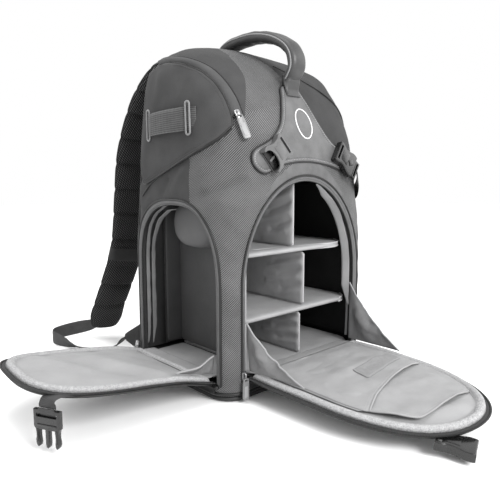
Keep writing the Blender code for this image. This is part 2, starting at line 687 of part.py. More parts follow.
def tangent_frame(x, z, turn):
    """A buckle's frame on the front skin, turned in the skin's plane."""
    lift = SOCKET_LIFT
    here = on_front(x, z, lift)
    across = (on_front(x + 0.004, z, lift) - on_front(x - 0.004, z, lift)).normalized()
    up = (on_front(x, z + 0.004, lift) - on_front(x, z - 0.004, lift)).normalized()
    frame = facing(here, across, up)
    return frame @ Matrix.Rotation(math.radians(turn), 4, "Z")


def make_buckles():
    socket("buckle_socket_left", tangent_frame(*LEFT_SOCKET), "grey_plastic")
    frame = tangent_frame(*RIGHT_SOCKET)
    socket("buckle_socket_right", frame, "plastic")
    engaged_plug("buckle_plug_right", frame @ Matrix.Translation((0, -0.0190, 0)))
    make_compression_strap(frame)


def engaged_plug(name, frame):
    """The male half when it is pushed home: its prongs are inside the socket."""
    right = [(0.0145, -0.0125), (0.0145, -0.0035), (0.0125, -0.0025), (0.0125, 0.0120), (0.0085, 0.0160),
             (0.0075, 0.0120), (0.0080, -0.0020), (0.0022, -0.0020), (0.0016, 0.0180)]
    outline = right + [(-x, y) for x, y in reversed(right)]
    rings = [[frame @ Vector((x, y, z)) for x, y in outline] for z in (-PLUG_HALF_DEEP, PLUG_HALF_DEEP)]
    made = loft(name, rings, "plastic")
    slot = [(-0.0118, -0.0100), (0.0118, -0.0100), (0.0118, -0.0062), (-0.0118, -0.0062)]
    rings = [[frame @ Vector((x, y, z)) for x, y in slot] for z in (-0.01, 0.01)]
    cut(made, loft("slot", rings, "plastic"))


def make_compression_strap(frame):
    """Webbing from the engaged buckle round the right side to the back seam."""
    start = frame @ Vector((0, -0.0350, 0))
    side = []
    for k in range(15):
        y = -0.094 + 0.140 * k / 14
        side.append(on_side(y, 0.270 - 0.016 * k / 14, 0.0034, 1))
    path = [start, start.lerp(side[0], 0.45) + Vector((0.0015, -0.0030, 0))] + side
    strip("compression_strap_right", path, WEBBING_HALF_WIDTH, WEBBING_THICK, (0, 0.15, 1), "webbing")


def make_loop():
    """Webbing held by two oval eyelets on the top panel."""
    front = (-0.050, 0.366)
    rear = (0.040, 0.364)
    for name, (y, z), lift in (("eyelet_front", front, 0.0082), ("eyelet_rear", rear, 0.0062)):
        here = on_side(y, z, lift)
        ahead = (on_side(y + 0.003, z, 0.0052) - on_side(y - 0.003, z, 0.0052)).normalized()
        eyelet(name, facing(here, ahead, (0, 0, 1)))
    path = []
    for k in range(9):
        t = k / 8
        y = front[0] + 0.0068 + (rear[0] - front[0] - 0.0136) * t
        z = front[1] + (rear[1] - front[1]) * t
        path.append(on_side(y, z, 0.0066 + 0.0056 * math.sin(math.pi * t) ** 0.7))
    strip("loop_webbing", path, 0.0150, WEBBING_THICK, (0, 0, 1), "webbing", PANEL_HINGE)


def eyelet(name, frame):
    """An upright oval ring."""
    steps = 14
    rings = []
    for k in range(steps):
        a = 2 * math.pi * k / steps
        across, up = math.cos(a), math.sin(a)
        lift = 0.0175 if up > 0 else -0.0175
        rings.append([frame @ Vector((r * across, r * up + lift, z))
                      for r, z in ((0.0045, -0.0014), (0.0020, -0.0014), (0.0020, 0.0014), (0.0045, 0.0014))])
    loft(name, rings, "grey_plastic", PANEL_HINGE, closed=True)


# ---- carrying -------------------------------------------------------------------------
def make_handle():
    path = smooth_path([(0, y, z) for y, z in HANDLE_LINE], 3)
    rings = []
    for i, point in enumerate(path):
        ahead = (path[min(i + 1, len(path) - 1)] - path[max(i - 1, 0)]).normalized()
        up = Vector((1, 0, 0)).cross(ahead).normalized()
        ring = []
        for k in range(10):
            a = 2 * math.pi * k / 10
            c, s = math.cos(a), math.sin(a)
            ring.append(point + Vector((1, 0, 0)) * HANDLE_HALF_WIDTH * math.copysign(abs(c) ** 0.6, c)
                        + up * HANDLE_HALF_THICK * math.copysign(abs(s) ** 0.8, s))
        rings.append(ring)
    loft("handle_grip", rings, "shell")


def make_harness():
    yoke = [(-0.100, 0.430), (0.100, 0.430), (0.104, 0.446), (0.098, 0.458), (-0.098, 0.458), (-0.104, 0.446)]
    skin_patch("strap_yoke", yoke, (0, 0.444), on_back, GAP, 0.0040, "dark", 3)
    for sign, side in ((-1, "left"), (1, "right")):
        pad = BACK_PAD
        back_pad("back_pad_" + side, sign * pad["inner"], sign * pad["outer"], pad["low"], pad["high"], pad["thick"])
        root = [on_back(0.128, z, GAP).y + 0.001 for z in (0.012, 0.064)]
        wing = [(root[0], 0.012), (0.164, 0.022), (0.164, 0.034), (root[1], 0.064)]
        prism("anchor_wing_" + side, [(sign * 0.128, y, z) for y, z in wing], (sign * 0.010, 0, 0), "dark")
        make_strap(sign, side)
    pad = LUMBAR_PAD
    back_pad("lumbar_pad", -pad["half"], pad["half"], pad["low"], pad["high"], pad["thick"])


def back_pad(name, x0, x1, low, high, thick):
    """A padded panel on the back, with its edges rolled off."""
    middle, half = (x0 + x1) / 2, (x1 - x0) / 2
    rings = []
    for k in range(13):
        t = k / 12
        z = low + (high - low) * t
        edge = min(t, 1 - t) * (high - low)
        rolled = max(0, 1 - edge / PAD_ROLL) ** 2
        narrow = 0.006 * rolled
        crown = thick * (1 - 0.5 * rolled)
        reach = half - math.copysign(narrow, half)
        shape = ((-1, 0.0012), (1, 0.0012), (1, crown * 0.6), (0.86, crown), (-0.86, crown), (-1, crown * 0.6))
        rings.append([on_back(middle + reach * a, z, lift) for a, lift in shape])
    loft(name, rings, "dark")


def make_strap(sign, side):
    line = [(-sign * x, y, z) for x, y, z in STRAP_LINE]
    path = smooth_path(line, 3)
    strip("shoulder_strap_" + side, path, STRAP_HALF_WIDTH, STRAP_THICK, (1, 0, 0), "dark", line[0])
    end, before = path[-1], path[-2]
    ahead = (end - before).normalized()
    lock = facing(end + ahead * 0.0105, (1, 0, 0), ahead)
    rounded_slab("ladder_lock_" + side, lock, (0.034, 0.0125, 0.0060), 0.002, "plastic", line[0])
    low = 0.0016
    route = [(0.1340, 0.1665, 0.0260), (0.1400, 0.1780, 0.0120), (0.1560, 0.1960, low), (0.1800, 0.2260, low),
             (0.1980, 0.2560, low), (0.2060, 0.2820, 0.0060), (0.2000, 0.2960, 0.0120), (0.1820, 0.2980, 0.0170),
             (0.1560, 0.2900, 0.0200)]
    points = smooth_path([(sign * x, y, z) for x, y, z in route], 2)
    across = []
    for i, point in enumerate(points):
        ahead = points[min(i + 1, len(points) - 1)] - points[max(i - 1, 0)]
        across.append(Vector((ahead.y, -ahead.x, 0)))
    strip("lower_webbing_" + side, points, WEBBING_HALF_WIDTH, WEBBING_THICK, across, "webbing")


# ---- gussets and loose buckles --------------------------------------------------------
GUSSETS = {
    "front_gusset_left": [(-0.1110, -0.1225, 0.100), (-0.1110, -0.1225, 0.0400), (-0.1000, -0.205, 0.0385)],
    "front_gusset_right": [(0.1080, -0.1225, 0.150), (0.1080, -0.1225, 0.0400), (0.1020, -0.210, 0.0385)],
    "side_gusset": [(-0.1560, -0.0880, 0.060), (-0.1600, -0.0880, 0.0400), (-0.2000, -0.0820, 0.0500)],
}


def make_gussets():
    """Each gusset is a flat triangle of cloth with a thickness."""
    for name, corners in GUSSETS.items():
        a, b, c = (Vector(p) for p in corners)
        normal = (b - a).cross(c - a).normalized() * GUSSET_THICK
        prism(name, [a, b, c], normal, "lining")


def make_loose_buckles():
    top = side_swing((SIDE_X, -0.074, SIDE_SILL + 0.211)) + Vector((0, 0, -0.0045))
    steps = [(0.026, 0, -0.0046), (0.012, 0, -0.0016), (0, 0, -0.0020), (-0.0035, 0, -0.0060), (-0.0040, 0, -0.0125)]
    run = [top + Vector(step) for step in steps]
    strip("side_buckle_webbing", run, WEBBING_HALF_WIDTH, WEBBING_THICK, (0, 1, 0), "webbing")
    hang = top + Vector((-0.0040, 0, -0.0135))
    broad = Matrix.Rotation(math.radians(28), 3, "Z") @ Vector((0, 1, 0))
    plug("buckle_plug_side", facing(hang + Vector((0, 0, -0.0165)), broad, (0, 0, 1)), "plastic", tuple(hang))
    tip = front_swing((-0.052, FRONT_Y, FRONT_SILL + 0.225)) + Vector((0, 0, -0.0010))
    frame = facing(tip + Vector((0.004, -0.028, -0.0085)), (1, 0.35, 0), (-0.35, 1, 0.10))
    socket("buckle_socket_front", frame, "plastic", tuple(tip + Vector((0, 0, -0.004))))


# ---- the bag --------------------------------------------------------------------------
clear_scene()
make_body()
make_interior()
make_front_hatch()
make_side_hatch()
make_zips()
make_panel()
make_sliders()
make_patch()
make_buckles()
make_loop()
make_handle()
make_harness()
make_gussets()
make_loose_buckles()
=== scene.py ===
"""The looks of the camera backpack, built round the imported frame.

Metres, +Z up, front hatch towards -Y, camera hatch towards -X, as in the frame.
"""
import math

import bmesh
import bpy
import numpy as np
from mathutils import Matrix, Vector, noise
from mathutils.geometry import delaunay_2d_cdt


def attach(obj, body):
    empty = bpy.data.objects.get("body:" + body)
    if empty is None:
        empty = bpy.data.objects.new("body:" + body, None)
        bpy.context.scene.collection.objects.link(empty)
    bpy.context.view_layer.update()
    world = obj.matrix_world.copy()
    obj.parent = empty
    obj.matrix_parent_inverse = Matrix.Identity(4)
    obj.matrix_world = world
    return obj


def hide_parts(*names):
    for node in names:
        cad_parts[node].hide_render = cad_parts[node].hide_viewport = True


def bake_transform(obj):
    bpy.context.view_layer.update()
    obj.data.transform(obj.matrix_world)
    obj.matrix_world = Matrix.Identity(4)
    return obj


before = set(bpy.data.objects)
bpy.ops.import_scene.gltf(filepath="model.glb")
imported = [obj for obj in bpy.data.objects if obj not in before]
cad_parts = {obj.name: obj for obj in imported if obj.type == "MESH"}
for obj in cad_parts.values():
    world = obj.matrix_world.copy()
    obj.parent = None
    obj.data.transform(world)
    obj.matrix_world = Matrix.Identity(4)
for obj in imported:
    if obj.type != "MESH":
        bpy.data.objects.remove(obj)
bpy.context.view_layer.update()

TAU = 2 * math.pi
TINY = 1e-12
ARCH_STEPS = 16  # points up each straight side of an opening

# ---- the body's form, as the frame has it ---------------------------------------------
SHELL_BOTTOM, BODY_TOP = 0.0068, 0.484
FRONT_PROFILE = [(0, -0.110), (0.018, -0.118), (0.290, -0.118), (0.340, -0.111), (0.380, -0.098),
                 (0.420, -0.077), (0.450, -0.046), (0.470, -0.012), (BODY_TOP, 0.018)]
BACK_PROFILE = [(0, 0.104), (0.018, 0.110), (0.180, 0.110), (0.250, 0.102), (0.325, 0.091),
                (0.390, 0.079), (0.430, 0.071), (0.460, 0.058), (0.475, 0.050), (BODY_TOP, 0.040)]
WIDTH_PROFILE = [(0, 0.144), (0.018, 0.150), (0.400, 0.150), (0.430, 0.147), (0.452, 0.138),
                 (0.466, 0.118), (0.476, 0.080), (BODY_TOP, 0.020)]
CORNER_PROFILE = [(0, 0.034), (0.140, 0.034), (0.300, 0.060), (0.380, 0.070), (BODY_TOP, 0.070)]
BACK_CORNER = 0.036
FRONT_Y, FRONT_SILL, FRONT_SPRING, FRONT_CROWN = -0.118, 0.027, 0.150, 0.289
FRONT_HALF, FRONT_ROUND, FRONT_TILT = 0.117, 2.0, -1.5
SIDE_X, SIDE_SILL, SIDE_SPRING, SIDE_CROWN = -0.150, 0.022, 0.137, 0.256
SIDE_HALF, SIDE_MID_Y, SIDE_ROUND, SIDE_TILT = 0.092, -0.004, 2.6, 12.5
TAPE = 0.006
ZIP_LINE = [(-0.110, 0.370), (-0.098, 0.392), (-0.080, 0.413), (-0.054, 0.432), (-0.022, 0.444), (0.010, 0.449)]
PANEL_ARC = [(-0.106, 0.356), (-0.102, 0.371), (-0.091, 0.391), (-0.074, 0.411), (-0.050, 0.427),
             (-0.020, 0.438), (0.012, 0.442)]
PANEL_BACK = [(0.044, 0.436), (0.052, 0.415), (0.060, 0.380), (0.066, 0.345), (0.069, 0.310), (0.060, 0.282)]
PANEL_SEAM = [(0.024, 0.294), (-0.024, 0.311), (-0.068, 0.326), (-0.092, 0.340)]
TOP_OPENING = [(-0.030, 0.330), (-0.052, 0.352), (-0.050, 0.378), (-0.034, 0.402), (-0.008, 0.420),
               (0.026, 0.422), (0.032, 0.400), (0.042, 0.350), (0.046, 0.306), (0.012, 0.314)]
PATCH = [(-0.014, 0.4180), (0.014, 0.4180), (0.024, 0.400), (0.040, 0.366), (0.062, 0.341), (0.098, 0.330),
         (0.110, 0.312), (0.096, 0.298), (0.050, 0.309), (0.000, 0.314), (-0.050, 0.309), (-0.084, 0.297),
         (-0.102, 0.308), (-0.098, 0.326), (-0.066, 0.342), (-0.042, 0.364), (-0.026, 0.398)]
PARTITION_X, PARTITION_FLARE = -0.077, 0.027
WALL, GAP = 0.008, 0.0004  # the body's wall, and the air between neighbours
HANDLE_LINE = [(-0.0845, 0.4290), (-0.0955, 0.446), (-0.088, 0.469), (-0.060, 0.4875), (-0.022, 0.4975),
               (0.014, 0.4985), (0.042, 0.4950), (0.0600, 0.4830), (0.0660, 0.4655)]
STRAP_LINE = [(-0.076, 0.074, 0.4620), (-0.082, 0.102, 0.4560), (-0.086, 0.150, 0.415), (-0.091, 0.186, 0.338),
              (-0.094, 0.199, 0.263), (-0.101, 0.206, 0.177), (-0.111, 0.229, 0.104), (-0.118, 0.262, 0.040)]


def spread(*values):
    """The values as arrays of one shape."""
    return np.broadcast_arrays(*(np.asarray(v, float) for v in values))


def run_along(points):
    """How far along a line each of its points lies."""
    return np.concatenate([[0], np.cumsum(np.linalg.norm(np.diff(points, axis=0), axis=1))])


def unit(rows):
    """Rows scaled to a length of one."""
    return rows / np.maximum(np.linalg.norm(rows, axis=1, keepdims=True), TINY)


def profile(points):
    """A smooth function through (place, value) points, for single values and arrays."""
    xs, ys = (np.array(column, dtype=float) for column in zip(*points))
    slopes = np.diff(ys) / np.diff(xs)
    tangents = np.zeros(len(xs))
    for i in range(1, len(xs) - 1):
        if slopes[i - 1] * slopes[i] > 0:
            tangents[i] = 2 * slopes[i - 1] * slopes[i] / (slopes[i - 1] + slopes[i])
    tangents[0], tangents[-1] = slopes[0], slopes[-1]

    def value(x):
        x = np.clip(np.asarray(x, dtype=float), xs[0], xs[-1])
        i = np.clip(np.searchsorted(xs, x, side="right") - 1, 0, len(xs) - 2)
        step = xs[i + 1] - xs[i]
        t = (x - xs[i]) / step
        ends = ys[i] * (1 + 2 * t) * (1 - t) ** 2 + ys[i + 1] * t * t * (3 - 2 * t)
        return ends + step * (tangents[i] * t * (1 - t) ** 2 + tangents[i + 1] * t * t * (t - 1))

    return value


front_y, back_y = profile(FRONT_PROFILE), profile(BACK_PROFILE)
half_width, front_corner = profile(WIDTH_PROFILE), profile(CORNER_PROFILE)


def limits(z, inset=0.0):
    """Half-width, front, back and the two corner radii at height z."""
    w, y0, y1 = half_width(z) - inset, front_y(z) + inset, back_y(z) - inset
    most = 0.48 * (y1 - y0)
    rf = np.minimum(np.minimum(front_corner(z) - inset, most), 0.9 * w)
    return w, y0, y1, rf, np.minimum(np.minimum(BACK_CORNER - inset, most), 0.9 * w)


def plan(a, z, inset=0.0):
    """Place and outward direction in plan, a metres round the body from the middle of its front."""
    w, y0, y1, rf, rb = limits(z, inset)
    s, sign = np.abs(a), np.where(np.asarray(a) < 0, -1.0, 1.0)
    s1 = w - rf
    s2 = s1 + rf * math.pi / 2
    s3 = s2 + (y1 - rb - y0 - rf)
    s4 = s3 + rb * math.pi / 2
    t = np.clip((s - s1) / rf, 0, math.pi / 2)
    u = np.clip((s - s3) / rb, 0, math.pi / 2)
    zone = [s < s1, s < s2, s < s3, s < s4]
    x = np.select(zone, [s, s1 + rf * np.sin(t), w + 0 * s, w - rb + rb * np.cos(u)], w - rb - (s - s4))
    y = np.select(zone, [y0 + 0 * s, y0 + rf - rf * np.cos(t), y0 + rf + s - s2, y1 - rb + rb * np.sin(u)], y1 + 0 * s)
    nx = np.select(zone, [0 * s, np.sin(t), 1 + 0 * s, np.cos(u)], 0 * s)
    ny = np.select(zone, [-1 + 0 * s, -np.cos(t), 0 * s, np.sin(u)], 1 + 0 * s)
    return sign * x, y, sign * nx, ny


def skin(a, z, lift=0.0, inset=0.0):
    """Points on the body's skin, or lifted off it along its normal."""
    a, z, lift = spread(a, z, lift)
    x, y, nx, ny = plan(a, z, inset)
    x1, y1, _, _ = plan(a, np.clip(z + 0.0015, 0, BODY_TOP), inset)
    x0, y0, _, _ = plan(a, np.clip(z - 0.0015, 0, BODY_TOP), inset)
    fall = ((x1 - x0) * nx + (y1 - y0) * ny) / 0.003
    size = np.sqrt(1 + fall * fall)
    return np.stack([x + lift * nx / size, y + lift * ny / size, z - lift * fall / size], axis=-1)


def side_a(y, z, sign=-1, inset=0.0):
    """A place on the left (or right) as metres round the body from the middle of its front."""
    w, y0, _, rf, _ = limits(z, inset)
    return sign * (w - rf + rf * math.pi / 2 + y - y0 - rf)


def back_a(x, z):
    """A place on the back as metres from the front's middle."""
    w, y0, y1, rf, rb = limits(z)
    run = w - rf + rf * math.pi / 2 + y1 - rb - y0 - rf + rb * math.pi / 2
    return np.where(np.asarray(x) < 0, -1, 1) * (run + w - rb - np.abs(x))


def half_round(z, inset=0.0):
    """From the middle of the front round to the middle of the back."""
    w, y0, y1, rf, rb = limits(z, inset)
    return w - rf + rf * math.pi / 2 + y1 - rb - y0 - rf + rb * math.pi / 2 + w - rb


HEIGHTS = np.linspace(SHELL_BOTTOM, BODY_TOP, 800)
RUNS = np.concatenate([[0], np.cumsum(np.hypot(np.diff(HEIGHTS), np.diff(front_y(HEIGHTS))))]) + SHELL_BOTTOM


def v_of(z):
    """A height as distance up the front's curve, which keeps cloth patterns unstretched."""
    return np.interp(z, HEIGHTS, RUNS)


def z_of(v):
    """The height at a distance up the front's curve."""
    return np.interp(v, RUNS, HEIGHTS)


def partition_x(y):
    """Where the partition stands, flared to the left near the front."""
    t = min(max((-0.036 - y) / 0.066, 0), 1)
    return PARTITION_X - PARTITION_FLARE * t * t * (3 - 2 * t)


def arch(half, sill, spring, crown, power, steps=40):
    """An arch outline as (across, up): upright sides with a rounded head."""
    out = [(-half, sill + (spring - sill) * k / ARCH_STEPS) for k in range(ARCH_STEPS)]
    for k in range(2 * steps + 1):
        t = math.pi * (1 - k / (2 * steps))
        c, s = math.cos(t), math.sin(t)
        out.append((math.copysign(abs(c) ** (2 / power), c) * half,
                    spring + (crown - spring) * abs(s) ** (2 / power)))
    return out + [(half, spring + (sill - spring) * (k + 1) / ARCH_STEPS) for k in range(ARCH_STEPS)]


def front_arch(grow=0.0, sill=0.0):
    """The front opening as (x, z), grown outwards and with its sill raised."""
    return arch(FRONT_HALF + grow, FRONT_SILL + sill, FRONT_SPRING, FRONT_CROWN + grow, FRONT_ROUND)


def side_arch(grow=0.0, sill=0.0):
    """The camera opening as (y, z), grown outwards and with its sill raised."""
    outline = arch(SIDE_HALF + grow, SIDE_SILL + sill, SIDE_SPRING, SIDE_CROWN + grow, SIDE_ROUND)
    return [(SIDE_MID_Y + y, z) for y, z in outline]


# ---- flat shapes and paths ------------------------------------------------------------
def spline(points, steps=8, closed=False):
    """Points along a Catmull-Rom curve through the given ones."""
    p = np.array(points, float)
    p = np.vstack([p[-1], p, p[0], p[1]]) if closed else np.vstack([2 * p[0] - p[1], p, 2 * p[-1] - p[-2]])
    out = []
    for a, b, c, d in zip(p[:-3], p[1:-2], p[2:-1], p[3:]):
        for t in np.arange(steps) / steps:
            out.append(0.5 * (2 * b + (c - a) * t + (2 * a - 5 * b + 4 * c - d) * t ** 2
                              + (3 * b - a - 3 * c + d) * t ** 3))
    return np.array(out if closed else out + [p[-2]])


def evened(points, count):
    """The same line with so many points, evenly placed."""
    p = np.array(points, float)
    run = run_along(p)
    at = np.linspace(0, run[-1], count)
    return np.stack([np.interp(at, run, p[:, k]) for k in range(p.shape[1])], axis=1)


def resample(points, step, closed=False):
    """The same line with its points at an even distance."""
    p = np.array(points, float)
    if closed:
        p = np.vstack([p, p[:1]])
    count = max(int(round(run_along(p)[-1] / step)), 2)
    out = evened(p, count + 1)
    return out[:-1] if closed else out


def inside(points, outline):
    """Which points lie inside a closed outline."""
    x, y = points[:, :1], points[:, 1:2]
    a, b = np.array(outline), np.roll(np.array(outline), -1, axis=0)
    crosses = (a[:, 1] > y) != (b[:, 1] > y)
    at = (b[:, 0] - a[:, 0]) * (y - a[:, 1]) / np.where(b[:, 1] == a[:, 1], TINY, b[:, 1] - a[:, 1]) + a[:, 0]
    return (crosses & (x < at)).sum(axis=1) % 2 == 1


def distance(points, line, closed=True):
    """Distance of each point from a line."""
    a = np.array(line, float)
    b = np.roll(a, -1, axis=0)
    if not closed:
        a, b = a[:-1], b[:-1]
    best = np.full(len(points), 1e9)
    d = b - a
    size = np.maximum((d * d).sum(axis=1), 1e-18)
    for k in range(len(a)):
        t = np.clip(((points - a[k]) @ d[k]) / size[k], 0, 1)
        best = np.minimum(best, np.linalg.norm(points - a[k] - t[:, None] * d[k], axis=1))
    return best


def shrunk(outline, by):
    """A closed outline moved inwards."""
    p = np.array(outline, float)
    ahead = np.roll(p, -1, axis=0) - np.roll(p, 1, axis=0)
    ahead = unit(ahead)
    area = (p[:, 0] * np.roll(p[:, 1], -1) - p[:, 1] * np.roll(p[:, 0], -1)).sum()
    inward = np.stack([-ahead[:, 1], ahead[:, 0]], axis=1) * (1 if area > 0 else -1)
    return p + inward * by


def offset_line(points, by):
    """An open line moved to its left."""
    p = np.array(points, float)
    ahead = np.gradient(p, axis=0)
    ahead = unit(ahead)
    return p + np.stack([-ahead[:, 1], ahead[:, 0]], axis=1) * by


def triangulate(outline, spacing, holes=(), lines=(), fine=None, rim=()):
    """Triangles inside an outline and outside its holes. rim gives distances from the edge
    where rows of points follow it; fine maps points to a local share of the spacing."""
    loops = [np.array(outline, float)] + [np.array(h, float) for h in holes]
    low, high = loops[0].min(axis=0), loops[0].max(axis=0)
    ys = np.arange(low[1], high[1], spacing * 0.87)
    rows = []
    for k, y in enumerate(ys):
        xs = np.arange(low[0] + (k % 2) * spacing / 2, high[0], spacing)
        rows.append(np.stack([xs, np.full_like(xs, y)], axis=1))
    grid = np.vstack(rows)
    if fine is not None:
        grid = fine(grid, spacing)
    grid = grid[inside(grid, loops[0])]
    for hole in loops[1:]:
        grid = grid[~inside(grid, hole)]
    near = np.full(len(grid), 1e9)
    for loop in loops:
        near = np.minimum(near, distance(grid, loop))
    for line in lines:
        near = np.minimum(near, distance(grid, line, False))
    clear = max([0.5 * spacing] + [r + 0.4 * spacing for r in rim])
    parts, edges, count = [], [], 0
    for loop in loops:
        parts.append(loop)
        edges += [(count + k, count + (k + 1) % len(loop)) for k in range(len(loop))]
        count += len(loop)
    for line in lines:
        line = np.array(line, float)
        parts.append(line)
        edges += [(count + k, count + k + 1) for k in range(len(line) - 1)]
        count += len(line)
    for r in rim:
        ring = shrunk(loops[0], r)
        ring = ring[inside(ring, loops[0]) & (distance(ring, loops[0]) > 0.8 * r)]
        parts.append(ring)
        count += len(ring)
    parts.append(grid[near > clear])
    points = np.vstack(parts)
    verts, _, faces, _, _, _ = delaunay_2d_cdt([Vector(p) for p in points.tolist()], edges, [], 0, 1e-6)
    flat = np.array([v[:] for v in verts])
    faces = np.array([f[:3] for f in faces])
    middle = flat[faces].mean(axis=1)
    keep = inside(middle, loops[0])
    for hole in loops[1:]:
        keep &= ~inside(middle, hole)
    faces = faces[keep]
    used = np.unique(faces)
    index = np.full(len(flat), -1)
    index[used] = np.arange(len(used))
    return flat[used], index[faces]


# ---- making objects -------------------------------------------------------------------
def make(name, verts, faces, mats, uvs=None, slots=None, body="root", smooth=True, sharp=None):
    """One mesh object riding on a body; uvs are per vertex or per corner, in metres."""
    mesh = bpy.data.meshes.new(name)
    faces = [tuple(int(i) for i in f) for f in faces]
    mesh.from_pydata([tuple(v) for v in np.asarray(verts, float).tolist()], [], faces)
    for mat in (mats if isinstance(mats, (list, tuple)) else [mats]):
        mesh.materials.append(mat)
    if slots is not None:
        mesh.polygons.foreach_set("material_index", np.asarray(slots, dtype=np.int32))
    if uvs is not None:
        layer = mesh.uv_layers.new(name="UVMap")
        uvs = np.asarray(uvs, float)
        corners = np.empty(len(mesh.loops), dtype=np.int32)
        mesh.loops.foreach_get("vertex_index", corners)
        data = uvs[corners] if len(uvs) != len(corners) else uvs
        layer.data.foreach_set("uv", data[:, :2].ravel())
    if smooth:
        mesh.shade_smooth()
    if sharp:
        mesh.set_sharp_from_angle(angle=math.radians(sharp))
    thing = bpy.data.objects.new(name, mesh)
    bpy.context.scene.collection.objects.link(thing)
    outward(mesh)
    if body:
        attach(thing, body)
    return thing


def outward(mesh):
    """Turn a mesh's faces outwards."""
    work = bmesh.new()
    work.from_mesh(mesh)
    bmesh.ops.recalc_face_normals(work, faces=work.faces)
    work.to_mesh(mesh)
    work.free()


def apply(thing):
    """Apply an object's modifiers to its mesh."""
    graph = bpy.context.evaluated_depsgraph_get()
    mesh = bpy.data.meshes.new_from_object(thing.evaluated_get(graph))
    old = thing.data
    thing.modifiers.clear()
    thing.data = mesh
    bpy.data.meshes.remove(old)
    return thing


def subdivide(thing, levels=1):
    """Round a mesh by Catmull-Clark subdivision."""
    step = thing.modifiers.new("round", "SUBSURF")
    step.levels = step.render_levels = levels
    return apply(thing)


def thickened(thing, thick):
    """Give a sheet of cloth its thickness, half to each side."""
    step = thing.modifiers.new("cloth", "SOLIDIFY")
    step.thickness, step.offset = thick, 0
    apply(thing)
    thing.data.shade_smooth()


def finished(node):
    """Hide the CAD node that a piece stands for."""
    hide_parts(node)


def grid(name, rows, mats, body="root", across=False, along=False, caps=False, uv_turn=False, **more):
    """A quad surface through rows of points; across and along close it on itself."""
    p = np.array(rows, float)
    n, m = p.shape[:2]
    verts = p.reshape(-1, 3)
    cols = m if across else m - 1
    lines = n if along else n - 1
    faces, uv = [], []

    def mean_run(axis):
        """Mean distance along one way of the grid, with the step that closes it."""
        steps = np.diff(np.concatenate([p, p.take([0], axis)], axis=axis), axis=axis)
        return np.concatenate([[0], np.cumsum(np.linalg.norm(steps, axis=2).mean(axis=1 - axis))])

    u, v = mean_run(1), mean_run(0)
    for i in range(lines):
        for j in range(cols):
            faces.append((i * m + j, i * m + (j + 1) % m, (i + 1) % n * m + (j + 1) % m, (i + 1) % n * m + j))
            uv += [(u[j], v[i]), (u[j + 1], v[i]), (u[j + 1], v[i + 1]), (u[j], v[i + 1])]
    if caps:
        for i, turn in ((0, -1), (n - 1, 1)):
            ring = [i * m + j for j in range(m)][::turn]
            faces.append(tuple(ring))
            uv += [(u[k % m], v[i]) for k in range(m)]
    uv = np.array(uv)
    if uv_turn:
        uv = uv[:, ::-1]
    return make(name, verts, faces, mats, uvs=uv, body=body, **more)


def frames(points, hint=(0, 0, 1), closed=False):
    """Direction, side and up at each point of a line, turning as little as it can."""
    p = np.array(points, float)
    ahead = (np.roll(p, -1, axis=0) - np.roll(p, 1, axis=0)) if closed else np.gradient(p, axis=0)
    ahead = unit(ahead)
    ups = []
    up = np.array(hint, float)
    for t in ahead:
        up = up - t * (up @ t)
        if np.linalg.norm(up) < 1e-4:
            up = np.cross(t, (1.0, 0.3, 0.2))
        up = up / np.linalg.norm(up)
        ups.append(up)
    ups = np.array(ups)
    return ahead, np.cross(ahead, ups), ups


def tube(name, points, radius, mat, body="root", closed=False, sides=8, flat=1.0, hint=(0, 0, 1), **more):
    """A round or flattened tube along a line."""
    p = np.array(points, float)
    _, side, up = frames(p, hint, closed)
    radius = np.broadcast_to(np.asarray(radius, float), (len(p),))
    rows = [[q + r * (s * math.cos(TAU * k / sides) + u * flat * math.sin(TAU * k / sides)) for k in range(sides)]
            for q, r, s, u in zip(p, radius, side, up)]
    return grid(name, rows, mat, body, across=True, along=closed, caps=not closed, **more)


def strap(name, points, across, half, thick, mat, body="root", rolled=0.45, ripple=None, steps=8, **more):
    """A flat band with rounded edges. across gives its width direction; ripple(s, t) lifts its faces."""
    p = np.array(points, float)
    ahead = np.gradient(p, axis=0)
    ahead = unit(ahead)
    wide = np.broadcast_to(np.array(across, float), p.shape).copy()
    wide -= ahead * (wide * ahead).sum(axis=1, keepdims=True)
    wide = unit(wide)
    up = np.cross(ahead, wide)
    run = run_along(p)
    half = np.broadcast_to(np.asarray(half, float), (len(p),))
    thick = np.broadcast_to(np.asarray(thick, float), (len(p),))
    shape = []
    for side in (1, -1):
        for k in range(steps + 1):
            t = (-1 + 2 * k / steps) * side
            edge = max(0.0, 1 - max(0, abs(t) - (1 - rolled)) ** 2 / rolled ** 2) ** 0.5
            shape.append((t, side * edge))
    rows = []
    for i in range(len(p)):
        row = []
        for t, h in shape:
            extra = ripple(run[i], t, h) if ripple else 0
            row.append(p[i] + wide[i] * t * half[i] + up[i] * (h * thick[i] / 2 + extra))
        rows.append(row)
    return grid(name, rows, mat, body, across=True, caps=True, **more)


def web(name, points, across, half, thick, mat, body="root"):
    """A strap of plain webbing, with square edges."""
    return strap(name, points, across, half, thick, mat, body, rolled=0.12, steps=6)


